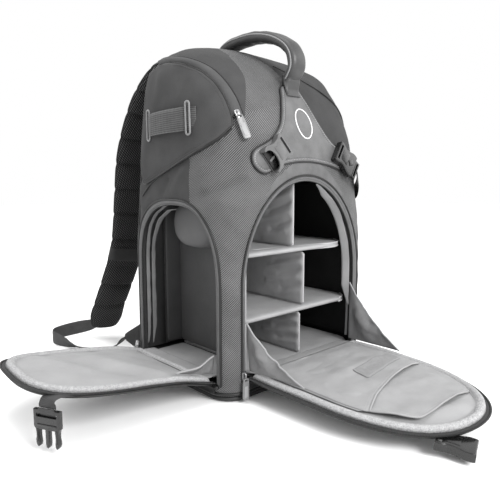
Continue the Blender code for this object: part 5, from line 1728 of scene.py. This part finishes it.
def waist():
    """A side-release socket's hourglass outline."""
    half = spline([(0.0172, -0.0206), (0.0184, -0.0160), (0.0182, -0.0100), (0.0158, -0.0040), (0.0140, 0.0020),
                   (0.0142, 0.0080), (0.0164, 0.0135), (0.0170, 0.0180), (0.0160, 0.0206)], 4).tolist()
    return both([(x, y) for x, y in half])


def socket(prefix, at, mat, body, node, mouth=True):
    """A side-release socket: hourglass shell, crescent mouth with a black block of painted shadow in it, strap slot and
    a raised rim.
    """
    deep = 0.0052
    cuts = [(both([(0.0150, -0.030), (0.0150, -0.008), (0.0100, 0.003)]), -0.0034, 0.0034),
            (moved(slab_outline(0.0250, 0.0040, 0.0012), 0, 0.0158), -0.012, 0.012)]
    if mouth:
        scoop = both([(0.0146, -0.030), (0.0146, -0.0175), (0.0125, -0.0128), (0.0085, -0.0098), (0.0040, -0.0084),
                      (0.0010, -0.0080)])
        cuts.append((scoop, 0.0012, 0.012))
    moulding(prefix + "_shell", waist(), at, -deep, deep, 0.0021, mat, body, node, cuts, segments=3)
    raised = both([(0.0100, -0.0040), (0.0090, 0.0020), (0.0088, 0.0080), (0.0070, 0.0108)])
    moulding(prefix + "_plate", raised, at, deep - 0.0006, deep + 0.0005, 0.0004, mat, body, None)
    if mouth:
        # A black block deep in the crescent mouth: painted shadow standing in for the shade inside the hollow socket.
        moulding(prefix + "_mouth_painted_shadow", both([(0.0140, -0.0196), (0.0140, -0.0080), (0.0096, 0.0024)]), at, -0.0030,
                 -0.0012, 0.0003,
                 BLACK, body, None)
        rail = moved(slab_outline(0.0030, 0.0120, 0.0010, 3), 0, -0.0125)
        moulding(prefix + "_guide", rail, at, -0.0018, 0.0004, 0.0003, mat, body, None)


def prongs():
    """A side-release plug's outline: two sprung arms and a middle guide."""
    right = [(0.0168, 0.0158), (0.0168, -0.0036), (0.0150, -0.0058), (0.0143, -0.0085), (0.0139, -0.0130),
             (0.0144, -0.0162),
             (0.0149, -0.0180), (0.0149, -0.0215), (0.0140, -0.0243), (0.0120, -0.0262), (0.0104, -0.0250),
             (0.0097, -0.0222), (0.0098, -0.0190), (0.0104, -0.0150), (0.0102, -0.0100), (0.0096, -0.0062)]
    guide = [(0.0024, -0.0062), (0.0024, -0.0225), (0.0017, -0.0252), (0.0006, -0.0264)]
    return both(right + guide)


def make_buckles():
    """The three sockets, two plugs and the webbing they hold."""
    def skin_frame(x, z, turn):
        """A frame on the front skin, turned in the skin's plane."""
        def at(x, z, lift):
            return Vector(np.asarray(skin(side_of(x, z), z, lift)).tolist())

        here = at(x, z, 0.0085)
        across = at(x + 0.004, z, 0.0085) - at(x - 0.004, z, 0.0085)
        up = at(x, z + 0.004, 0.0085) - at(x, z - 0.004, 0.0085)
        return facing(here, across, up) @ Matrix.Rotation(math.radians(turn), 4, "Z")

    def side_of(x, z):
        """The front skin's a at a given x, round the corner."""
        s = np.linspace(0, 0.24, 2400)
        xs = plan(s, z)[0]
        return math.copysign(float(np.interp(abs(x), xs[:1500], s[:1500])), x)

    left = skin_frame(-0.066, 0.322, -52)
    socket("socket_left", left, GREY, "root", "buckle_socket_left")
    right = skin_frame(0.076, 0.318, 52)
    socket("socket_right", right, BLACK, "root", "buckle_socket_right", mouth=False)
    diamond = [(0.0058, 0), (0, 0.0062), (-0.0058, 0), (0, -0.0062)]
    moulding("socket_right_button", diamond, right @ Matrix.Translation((0, -0.0105, 0)), 0.0046, 0.0062, 0.0006, BLACK,
             "root", None)
    home = right @ Matrix.Translation((0, -0.0190, 0))
    half = [(0.0145, -0.0125), (0.0145, -0.0035), (0.0125, -0.0025), (0.0125, 0.0120), (0.0085, 0.0160),
            (0.0075, 0.0120), (0.0080, -0.0020), (0.0022, -0.0020), (0.0016, 0.0180)]
    moulding("plug_right", both(half), home, -0.0027, 0.0027, 0.0007, BLACK, "root", "buckle_plug_right",
             [(moved(slab_outline(0.0236, 0.0038, 0.0012), 0, -0.0081), *THROUGH)])
    first = right @ Vector((0, -0.0350, 0))
    ys, zs = np.linspace(-0.094, 0.046, 16), np.linspace(0.270, 0.254, 16)
    along = skin(side_a(ys, zs, 1), zs, 0.0034)
    near = np.array(first) + 0.45 * (along[0] - np.array(first)) + np.array([0.0015, -0.0030, 0])
    run = resample(spline([tuple(first), tuple(near)] + [tuple(p) for p in along[::3]], 6), 0.004)
    made = web("compression_web_right", run, (0, 0.15, 1), 0.0113, 0.0015, WEB)
    finished("compression_strap_right")
    for k in range(3):
        bar = moved(slab_outline(0.022, 0.0010, 0.0004, 2), 0, -0.0045 + 0.0018 * k * 0.9)
        moulding(f"plug_right_rib_{k}", bar, home, 0.0024, 0.0032, 0.0003, BLACK, "root", None)

    flat_top = Vector((SIDE_X - 0.211 * SIDE_S, -0.074, SIDE_SILL + 0.211 * SIDE_C)) + Vector((0, 0, -0.0045))
    hang = flat_top + Vector((-0.0040, 0, -0.0135))
    broad = Matrix.Rotation(math.radians(HANG_TURN), 3, "Z") @ Vector((0, 1, 0))
    at = facing(hang + Vector((0, 0, -0.0165)), broad, (0, 0, 1))
    moulding("plug_side", prongs(), at, -0.0027, 0.0027, 0.0011, BLACK, "side_buckle", "buckle_plug_side",
             [(moved(slab_outline(0.0262, 0.0042, 0.0014), 0, 0.0098), *THROUGH)])
    for side in (1, -1):
        rib = moved(slab_outline(0.0022, 0.0150, 0.0010, 3), side * 0.0122, -0.0130)
        moulding(f"plug_side_ridge_{'right' if side > 0 else 'left'}", rib, at, -0.0034, 0.0034, 0.0006, BLACK,
                 "side_buckle",
                 None)
    bar = moved(slab_outline(0.0250, 0.0024, 0.0011, 3), 0, -0.0010)
    moulding("plug_side_bar", bar, at, -0.0036, 0.0036, 0.0009, BLACK, "side_buckle", None)

    steps = [(0.026, -0.0046), (0.019, -0.0032), (0.012, -0.0016), (0.005, -0.0010), (0, -0.0020), (-0.0028, -0.0042),
             (-0.0038, -0.0080), (-0.0040, -0.0125)]
    run = spline([flat_top + Vector((x, 0, z)) for x, z in steps], 5)
    turn = np.clip(np.linspace(-0.6, 1.15, len(run)), 0, 1)[:, None] * math.radians(HANG_TURN)
    across = np.hstack([-np.sin(turn), np.cos(turn), 0 * turn])
    made = web("side_buckle_web", run, across, 0.0112, 0.0015, WEB, "side_flap")
    finished("side_buckle_webbing")
    loop = [at @ Vector(p) for p in ((0, 0.0175, -0.0024), (0, 0.0135, -0.0022), (0, 0.0098, -0.0004),
                                     (0, 0.0060, 0.0026),
                                     (0, 0.0020, 0.0044), (0, -0.0040, 0.0052), (0, -0.0100, 0.0052))]
    made = web("side_buckle_tail", spline(loop, 5), broad, 0.0105, 0.0014, WEB, "side_buckle")

    tip = Vector((-0.052, FRONT_Y - 0.225 * FRONT_S, FRONT_SILL + 0.225 * FRONT_C - 0.0010))
    at = facing(tip + Vector((0.004, -0.028, -0.0085)), (1, 0.35, 0), (-0.35, 1, 0.10))
    socket("socket_front", at, BLACK, "front_buckle", "buckle_socket_front", mouth=False)


def eyelet(node, at, half_wide, half_high, radius, steps=14):
    """An oval ring of round wire."""
    points = []
    straight = half_high - half_wide
    for side in (1, -1):
        for k in range(steps + 1):
            a = math.pi * k / steps + (0 if side > 0 else math.pi)
            points.append(at @ Vector((half_wide * math.cos(a), half_wide * math.sin(a) + side * straight, 0)))
    normal = (at.to_3x3() @ Vector((0, 0, 1))).normalized()
    made = tube(node + "_ring", resample(points, 0.0012, True), radius, SILVER_GREY, "top_panel", closed=True, sides=12,
                hint=normal)
    finished(node)


def make_loop():
    """Webbing held by two oval eyelets on the top panel."""
    front, rear = (-0.050, 0.366), (0.040, 0.364)
    for name, (y, z), lift in (("eyelet_front", front, 0.0082), ("eyelet_rear", rear, 0.0062)):
        here = Vector(skin(side_a(y, z), z, lift).tolist())
        ahead = Vector((skin(side_a(y + 0.003, z), z, 0.0052) - skin(side_a(y - 0.003, z), z, 0.0052)).tolist())
        at = facing(here, ahead, (0, 0, 1))
        eyelet(name, at, 0.0033, 0.0208, 0.00135)
    path = []
    for t in np.linspace(0, 1, 40):
        y, z = front[0] + 0.0050 + (rear[0] - front[0] - 0.0100) * t, front[1] + (rear[1] - front[1]) * t
        path.append(skin(side_a(y, z), z, 0.0068 + 0.0054 * math.sin(math.pi * t) ** 0.7))
    made = strap("loop_web", path, (0, 0, 1), 0.0152, 0.0017, LIGHT_WEB, "top_panel", rolled=0.10, steps=8,
                 ripple=lambda s, t, h: 0.0002 * math.sin(s * 900))
    finished("loop_webbing")
    for name, (y, z), way in (("front", front, -1), ("rear", rear, 1)):
        ends = []
        for t in np.linspace(0, 1, 12):
            yy = y - way * 0.0050 + way * 0.0150 * t
            ends.append(skin(side_a(yy, z), z, 0.0068 - 0.0020 * t - 0.0006 * (name == "rear")))
        made = strap(f"loop_web_tab_{name}", ends, (0, 0, 1), 0.0148, 0.0014, LIGHT_WEB, "top_panel", rolled=0.10,
                     steps=6)


def make_slider(prefix, place, outward_dir, up, pull_length, lean=0.0):
    """A zip slider with its bridge, and the moulded pull that hangs on it."""
    out, up = Vector(outward_dir).normalized(), Vector(up).normalized()
    across = up.cross(out)
    at = facing(place, across, up)
    shield = both([(0.0026, -0.0055), (0.0032, -0.0020), (0.0038, 0.0020), (0.0036, 0.0048), (0.0014, 0.0055)])
    moulding(prefix + "_slider_body", shield, at, -0.0014, 0.0010, 0.0005, METAL, prefix + "_slider",
             prefix + "_zip_slider")
    bridge = spline([at @ Vector(p) for p in ((0, 0.0040, 0.0004), (0, 0.0030, 0.0028), (0, 0, 0.0036),
                                              (0, -0.0030, 0.0028),
                                              (0, -0.0040, 0.0004))], 5)
    made = tube(prefix + "_slider_bridge", bridge, 0.0009, METAL, prefix + "_slider", flat=0.6, hint=out)
    pivot = Vector(place) - up * 0.0030 + out * 0.0030
    drop = (Matrix.Rotation(lean, 3, across) @ -up).normalized()
    tag = facing(pivot + drop * (pull_length / 2), across, drop)
    half = pull_length / 2
    outline = both([(0.0030, -half), (0.0042, -half + 0.0014), (0.0050, -half + 0.0060), (0.0052, 0),
                    (0.0052, half - 0.0030),
                    (0.0042, half - 0.0006), (0.0028, half)])
    moulding(prefix + "_pull_body", outline, tag, -0.0011, 0.0011, 0.0007, SILVER_GREY, prefix + "_pull",
                    prefix + "_zip_pull",
                    [(moved(slab_outline(0.0050, 0.0026, 0.0012), 0, -half + 0.0024), *THROUGH)])
    inlay = moved(slab_outline(0.0060, pull_length * 0.52, 0.0016, 4), 0, half * 0.22)
    for k, z in ((0, 0.0009), (1, -0.0015)):
        moulding(f"{prefix}_pull_inlay_{k}", inlay, tag, z, z + 0.0006, 0.0002, PULL_INLAY, prefix + "_pull", None)


def make_sliders():
    """The three zip sliders at the ends of their runs."""
    make_slider("front", (-0.1216, -0.1202, 0.0360), (0, -1, 0), (0, 0, 1), 0.029)
    make_slider("side", (-0.1522, 0.0927, 0.0360), (-1, 0, 0), (0, 0, 1), 0.029)
    y, z = ZIP_LINE[0]
    start = Vector(skin(side_a(y, z), z, 0.0042).tolist())
    out = start - Vector(skin(side_a(y, z), z, 0.0).tolist())
    y, z = ZIP_LINE[1]
    ahead = Vector(skin(side_a(y, z), z, 0.0042).tolist()) - start
    make_slider("top", start, out, ahead, 0.032, 0.06)


def make_handle():
    """A padded carrying handle: bent foam in smooth cloth, piped along its lower edges, sewn at its feet."""
    line = resample(spline([(0, y, z) for y, z in HANDLE_LINE], 8), 0.0025)
    ahead, _, _ = frames(line, (1, 0, 0))
    across = np.array([1.0, 0, 0])
    rows, left, right = [], [], []
    run = np.linspace(0, 1, len(line))
    for p, t, s in zip(line, ahead, run):
        up = np.cross(across, t)
        full = 1 - 0.08 * np.exp(-(min(s, 1 - s) / 0.05) ** 2)
        pucker = 1 + 0.03 * math.sin(s * 60) * (0.4 + abs(math.sin(s * 9)))
        ring = []
        for k in range(20):
            a = TAU * k / 20
            c, sn = math.cos(a), math.sin(a)
            ring.append(p + across * 0.0148 * full * math.copysign(abs(c) ** 0.62, c)
                        + up * 0.0083 * full * pucker * math.copysign(abs(sn) ** 0.85, sn))
        rows.append(ring)
        for edge, side in ((left, -1), (right, 1)):
            edge.append(p + across * side * 0.0146 * full + up * 0.0022)
    made = grid("handle_cloth", rows, HANDLE_CLOTH, across=True, caps=True)
    subdivide(made)
    made.data.shade_smooth()
    finished("handle_grip")
    for edge, side in ((left, "left"), (right, "right")):
        pipe = tube("handle_piping_" + side, resample(edge, 0.003), 0.0011, HANDLE_PIPING)
    zs = np.array([0.4150, 0.4090, 0.4030])
    front = np.vstack([[(0, -0.0862, 0.4340), (0, -0.0850, 0.4270)],
                       skin(0 * zs, zs, np.array([0.0075, 0.0048, 0.0042]))])
    zs = np.array([0.4560, 0.4490, 0.4420])
    rear = np.vstack([[(0, 0.0655, 0.4710), (0, 0.0664, 0.4640)], skin(back_a(0 * zs, zs), zs,
                                                                       np.array([0.0080, 0.0064, 0.0058]))])
    for name, foot in (("front", front), ("rear", rear)):
        path = resample(spline(foot, 6), 0.0020)
        share = np.linspace(0, 1, len(path))
        made = strap("handle_foot_" + name, path, (1, 0, 0), np.interp(share, (0, 0.4, 1), (0.0134, 0.0142, 0.0138)),
                     np.interp(share, (0, 0.35, 0.65, 1), (0.0160, 0.0150, 0.0040, 0.0020)), HANDLE_CLOTH, rolled=0.3,
                     steps=10)
        low = path[int(len(path) * 0.74)]
        across = np.array([(x, low[1], low[2]) for x in np.arange(-0.0112, 0.0113, 0.0028)])
        out = np.array([0, -0.7, 0.7]) if name == "front" else np.array([0, 1, 0.2])
        made = beads(f"handle_foot_{name}_stitches", across + 0.0012 * out, out, (0.0019, 0.0006, 0.0005), THREAD)


make_buckles()
make_loop()
make_sliders()
make_handle()


# ---- harness --------------------------------------------------------------------------
STRAP_HALF, STRAP_THICK = 0.0312, 0.016
STRAP_TIP = [(-0.1160, 0.2525, 0.0560), (-0.1185, 0.2580, 0.0370), (-0.1205, 0.2625, 0.0215)]
STRAP_ROOT = [(-0.0745, 0.0600, 0.4555)]
FOLD_PITCH = 0.043
BAND_SPAN = (0.362, 0.386)
WEB_HALF, WEB_THICK = 0.0115, 0.0016
BACK_PAD = {"low": 0.152, "high": 0.416, "inner": 0.026, "outer": 0.106, "thick": 0.016}
LUMBAR = {"low": 0.040, "high": 0.136, "half": 0.108, "thick": 0.018}
LOWER_ROUTE = [(0.1340, 0.1665, 0.0260), (0.1400, 0.1780, 0.0120), (0.1560, 0.1960, 0.0018), (0.1800, 0.2260, 0.0034),
               (0.1980, 0.2560, 0.0108), (0.2070, 0.2820, 0.0150), (0.2000, 0.2970, 0.0160), (0.1820, 0.3000, 0.0180),
               (0.1560, 0.2940, 0.0210), (0.1350, 0.2850, 0.0240), (0.1240, 0.2765, 0.0280), (0.1190, 0.2712, 0.0330)]
LOWER_TWIST = [0, 0, 0, 0, 0.25, 0.75, 1, 1, 0.95, 0.8, 0.5, 0.1]


def on_back(x, z, lift):
    """A place on the back, lifted off it."""
    return skin(back_a(x, z), z, lift)


def fold_dip(s):
    """How deep the strap's foam folds at a distance down the strap: sharp above, soft below."""
    at = (s - 0.003) % FOLD_PITCH
    return math.exp(-(at / 0.0052) ** 2) + math.exp(-((FOLD_PITCH - at) / 0.0022) ** 2)


def strap_rings(line, grow=0.0, span=None):
    """Rings round the padded strap; grow sets them off its surface and span keeps part of its length."""
    p = resample(line, 0.0022)
    ahead = np.gradient(p, axis=0)
    ahead = unit(ahead)
    wide = np.tile((1.0, 0, 0), (len(p), 1)) - ahead * ahead[:, :1]
    wide = unit(wide)
    up = np.cross(ahead, wide)
    run = run_along(p)
    rings = []
    for i, s in enumerate(run):
        if span and not span[0] <= s <= span[1]:
            continue
        left = run[-1] - s
        tip = math.sqrt(max(0.0, 1 - max(0.0, 1 - left / 0.030) ** 2)) * 0.45 + 0.55
        top = 0.86 + 0.14 * min(s / 0.05, 1)
        dip = fold_dip(s) * (1 if 0.045 < s < run[-1] - 0.02 and not (0.353 < s < 0.395) else 0.15)
        half = STRAP_HALF * tip * top * (1 - 0.05 * dip) + grow
        puff = 1.06 - 0.60 * dip + 0.05 * math.sin(s * 170)
        share = min(left / 0.055, 1)
        thin = 0.42 + 0.58 * share * share * (3 - 2 * share)
        ring = []
        for k in range(28):
            a = TAU * k / 28
            c, sn = math.cos(a), math.sin(a)
            t = math.copysign(abs(c) ** 0.55, c)
            h = math.copysign(abs(sn) ** 0.9, sn)
            deep = STRAP_THICK / 2 * (puff if h > 0 else 0.86) * thin + grow
            bend = 0.0016 * math.sin(s * 23) * (0.3 + t * t)
            ring.append(p[i] + wide[i] * t * half + up[i] * (h * deep * 0.97 + bend * (1 if grow >= 0 else 0)))
        rings.append(ring)
    return np.array(rings), p, up


def make_strap(sign, side):
    """A padded shoulder strap with its bindings, band, webbing and ladder lock."""
    body = f"{side}_strap"
    mirror = np.array((-sign, 1, 1))
    line = spline(np.array(STRAP_ROOT + STRAP_LINE[:-1] + STRAP_TIP) * mirror, 10)
    rings, middle, up = strap_rings(line)
    face = np.zeros((len(rings) - 1, 28), int)
    face[:, 14:] = 1
    slots = np.concatenate([face.ravel(), [1, 1]])
    made = grid(f"shoulder_pad_{side}", rings, [AIR, STRAP_CLOTH], body, across=True, caps=True, slots=slots)
    finished(f"shoulder_strap_{side}")
    for way, columns in (("inner", 0), ("outer", 14)):
        edge = resample(rings[:, columns], 0.003)
        pipe = tube(f"shoulder_binding_{side}_{way}", edge, 0.0013, STRAP_EDGE, body)
    outer, inner = (strap_rings(line, grow, BAND_SPAN)[0] for grow in (0.0013, 0.0002))
    band_rows = np.concatenate([outer, inner[::-1]])
    made = grid(f"shoulder_band_{side}", band_rows, WEB_SMOOTH, body, across=True, along=True)
    run = run_along(middle)
    keep = (run > 0.045) & (run < run[-1] - 0.030)
    thin = np.clip((run[-1] - run[keep]) / 0.055, 0, 1)[:, None]
    back = middle[keep] - up[keep] * (STRAP_THICK / 2 * 0.86 * (0.42 + 0.58 * thin * thin * (3 - 2 * thin)) + 0.0012)
    made = web(f"shoulder_web_{side}", resample(back, 0.004), (1, 0, 0), WEB_HALF, 0.0015, WEB, body)
    end, before = (Vector((STRAP_LINE[k] * mirror).tolist()) for k in (-1, -2))
    ahead = (end - before).normalized()
    at = facing(end + ahead * 0.0105, (1, 0, 0), ahead)
    openings = [(moved(slab_outline(0.0250, 0.0026, 0.0010, 4), 0, y), *THROUGH) for y in (-0.0032, 0.0024)]
    moulding(f"ladder_lock_frame_{side}", slab_outline(0.034, 0.0125, 0.0025), at, -0.0028, 0.0028, 0.0009, BLACK, body,
             f"ladder_lock_{side}", openings)


def make_lower_webbing(sign, side):
    """The webbing from the anchor wing, along the floor and up to the strap, turning on its edge."""
    line = spline([(sign * x, y, z) for x, y, z in LOWER_ROUTE], 8)
    line = resample(line, 0.0025)
    ahead = np.gradient(line, axis=0)
    across = np.stack([ahead[:, 1], -ahead[:, 0], 0 * ahead[:, 0]], axis=1)
    across = unit(across)
    twist = np.interp(np.linspace(0, 1, len(line)), np.linspace(0, 1, len(LOWER_TWIST)), LOWER_TWIST)[:, None]
    across = across * np.cos(twist * math.pi / 2) + np.array((0, 0, sign)) * np.sin(twist * math.pi / 2)
    made = web(f"lower_web_{side}", line, across, WEB_HALF - 0.0003, WEB_THICK - 0.0001, WEB, None)
    finished(f"lower_webbing_{side}")
    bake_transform(made)


def make_wing(sign, side):
    """The stitched triangle of cloth that anchors the strap's lower webbing."""
    root = [float(on_back(np.float64(0.128), np.float64(z), 0.0)[1]) + 0.0012 for z in (0.012, 0.064)]
    outline = [(root[0], 0.0125), (0.160, 0.0215), (0.1635, 0.0250), (0.1635, 0.0325), (0.160, 0.0355),
               (root[1], 0.0635)]

    def place(y, z, lift):
        y, z, lift = spread(y, z, lift)
        return np.stack([sign * (0.133 + lift), y, z], axis=-1)

    made = pillow(f"anchor_cloth_{side}", outline, place, 0.0085, BACK, spacing=0.005, rim=0.007,
                  wrinkle=lambda y, z: 0.0004 * fractal(y, z, 61, 0.012))
    finished(f"anchor_wing_{side}")
    row = resample(shrunk(resample(outline, 0.003, True), 0.0042), 0.0030, True)
    for way in (1, -1):
        made = sewn(f"anchor_stitches_{side}_{'out' if way > 0 else 'in'}", row, place, (way * 0.0034, way * 0.006),
                    (0.0018, 0.0005, 0.0006), DARK_THREAD)


def make_pads():
    """The back and lumbar pads: stuffed air mesh, blown up as cloth, with bound edges and sewn channels."""
    pads = []
    for sign, side in ((-1, "left"), (1, "right")):
        pads.append((f"back_pad_{side}", sign * (BACK_PAD["inner"] + BACK_PAD["outer"]) / 2,
                     (BACK_PAD["outer"] - BACK_PAD["inner"]) / 2, BACK_PAD["low"], BACK_PAD["high"], BACK_PAD["thick"],
                     (0.235, 0.325)))
    pads.append(("lumbar_pad", 0.0, LUMBAR["half"], LUMBAR["low"], LUMBAR["high"], LUMBAR["thick"], ()))
    for node, x, half, low, high, thick, channels in pads:
        outline = moved(slab_outline(2 * half - 0.006, high - low - 0.006, 0.020, 8), x, (low + high) / 2)

        def height(flat, d, thick=thick, channels=channels):
            t = np.clip(d / 0.016, 0, 1)
            h = (thick - 0.0052) * np.sqrt(np.maximum(1 - (1 - t) ** 2, 0)) + 0.0002
            for z in channels:
                h = h * (1 - 0.52 * np.exp(-((flat[:, 1] - z) / 0.0055) ** 2))
            return h

        made = pillow(node + "_cloth", outline, lambda x, z, lift: on_back(x, z, lift + 0.0022), 0.003, AIR_BACK,
                      spacing=0.006, rim=0.004, shape=height, rows=(0.0015, 0.004, 0.008))
        swell(made, 0.0055, 3.5, 0.0022, lambda p: p[:, 1] < back_y(p[:, 2]) + 0.0042)
        finished(node)
        edge = resample(outline, 0.003, True)
        pipe = tube(node + "_binding", on_back(edge[:, 0], edge[:, 1], 0.0026), 0.0020, STRAP_EDGE, closed=True)
        for k, z in enumerate(channels):
            xs = np.arange(x - half + 0.010, x + half - 0.010, 0.0034)
            depth = thick * 0.5 - 0.0006
            made = sewn(f"{node}_channel_{k}", np.stack([xs, np.full_like(xs, z)], axis=1), on_back,
                        (depth, depth + 0.002), (0.0022, 0.0006, 0.0006), DARK_THREAD)


def make_yoke():
    """The stitched band across the back that the straps are sewn to."""
    outline = [(-0.100, 0.431), (0.100, 0.431), (0.1035, 0.438), (0.104, 0.446), (0.098, 0.4575), (-0.098, 0.4575),
               (-0.104, 0.446), (-0.1035, 0.438)]
    made = pillow("yoke_cloth", outline, on_back, 0.0034, BACK, spacing=0.006, rim=0.004, lift=0.0022,
                  wrinkle=lambda x, z: 0.0003 * fractal(x, z, 71, 0.02))
    finished("strap_yoke")
    for k, by in enumerate((0.003, 0.0065)):
        row = resample(shrunk(resample(outline, 0.003, True), by), 0.0034, True)
        made = sewn(f"yoke_stitches_{k}", row, on_back, (0.0032, 0.006), (0.0022, 0.0005, 0.0005), DARK_THREAD)


make_yoke()
make_pads()
for sign, side in ((-1, "left"), (1, "right")):
    make_strap(sign, side)
    make_lower_webbing(sign, side)
    make_wing(sign, side)


# ---- floor, light and camera ----------------------------------------------------------
FLOOR_HALF, FLOOR_DROP = 6, 0.0006
LIGHTS = (("key", (-0.15, -1.9, 1.25), (0, -0.05, 0.2), 0.9, 46),  # name, place, aim, size, power
          ("fill", (1.6, -0.9, 1.1), (0, 0, 0.25), 1.2, 8),
          ("rim", (-0.9, 1.6, 1.6), (0, 0, 0.3), 1.0, 16),
          ("top", (-0.2, -0.1, 2.2), (0, 0, 0.2), 1.2, 16))


def set_stage():
    """The pale floor, the soft lights and the camera."""
    h = FLOOR_HALF
    mesh = bpy.data.meshes.new("floor")
    mesh.from_pydata([(-h, -h, 0), (h, -h, 0), (h, h, 0), (-h, h, 0)], [], [(0, 1, 2, 3)])
    floor = bpy.data.objects.new("floor", mesh)
    bpy.context.scene.collection.objects.link(floor)
    floor.location.z = -FLOOR_DROP
    s = Shader("floor_paper", 0.9, specular=0.1)
    s.bsdf.inputs["Base Color"].default_value = (1.0, 1.0, 1.0, 1)
    mesh.materials.append(s.mat)
    world = bpy.data.worlds.new("studio")
    bpy.context.scene.world = world
    world.use_nodes = True
    world.node_tree.nodes["Background"].inputs["Color"].default_value = (1, 1, 1, 1)
    world.node_tree.nodes["Background"].inputs["Strength"].default_value = 1.0
    for name, place, aim, size, power in LIGHTS:
        light = bpy.data.lights.new(name, "AREA")
        light.size, light.energy = size, power
        lamp = bpy.data.objects.new(name, light)
        lamp.location = place
        lamp.rotation_euler = (Vector(aim) - Vector(place)).to_track_quat("-Z", "Y").to_euler()
        bpy.context.scene.collection.objects.link(lamp)
    camera = bpy.data.objects.new("camera", bpy.data.cameras.new("camera"))
    camera.location = (-0.559, -0.600, 0.288)
    camera.rotation_euler = (math.radians(82.4), 0, math.radians(-43))
    camera.data.lens, camera.data.sensor_width = 37.44, 36
    bpy.context.scene.collection.objects.link(camera)
    bpy.context.scene.camera = camera
    bpy.context.scene.view_settings.view_transform = "Standard"


set_stage()
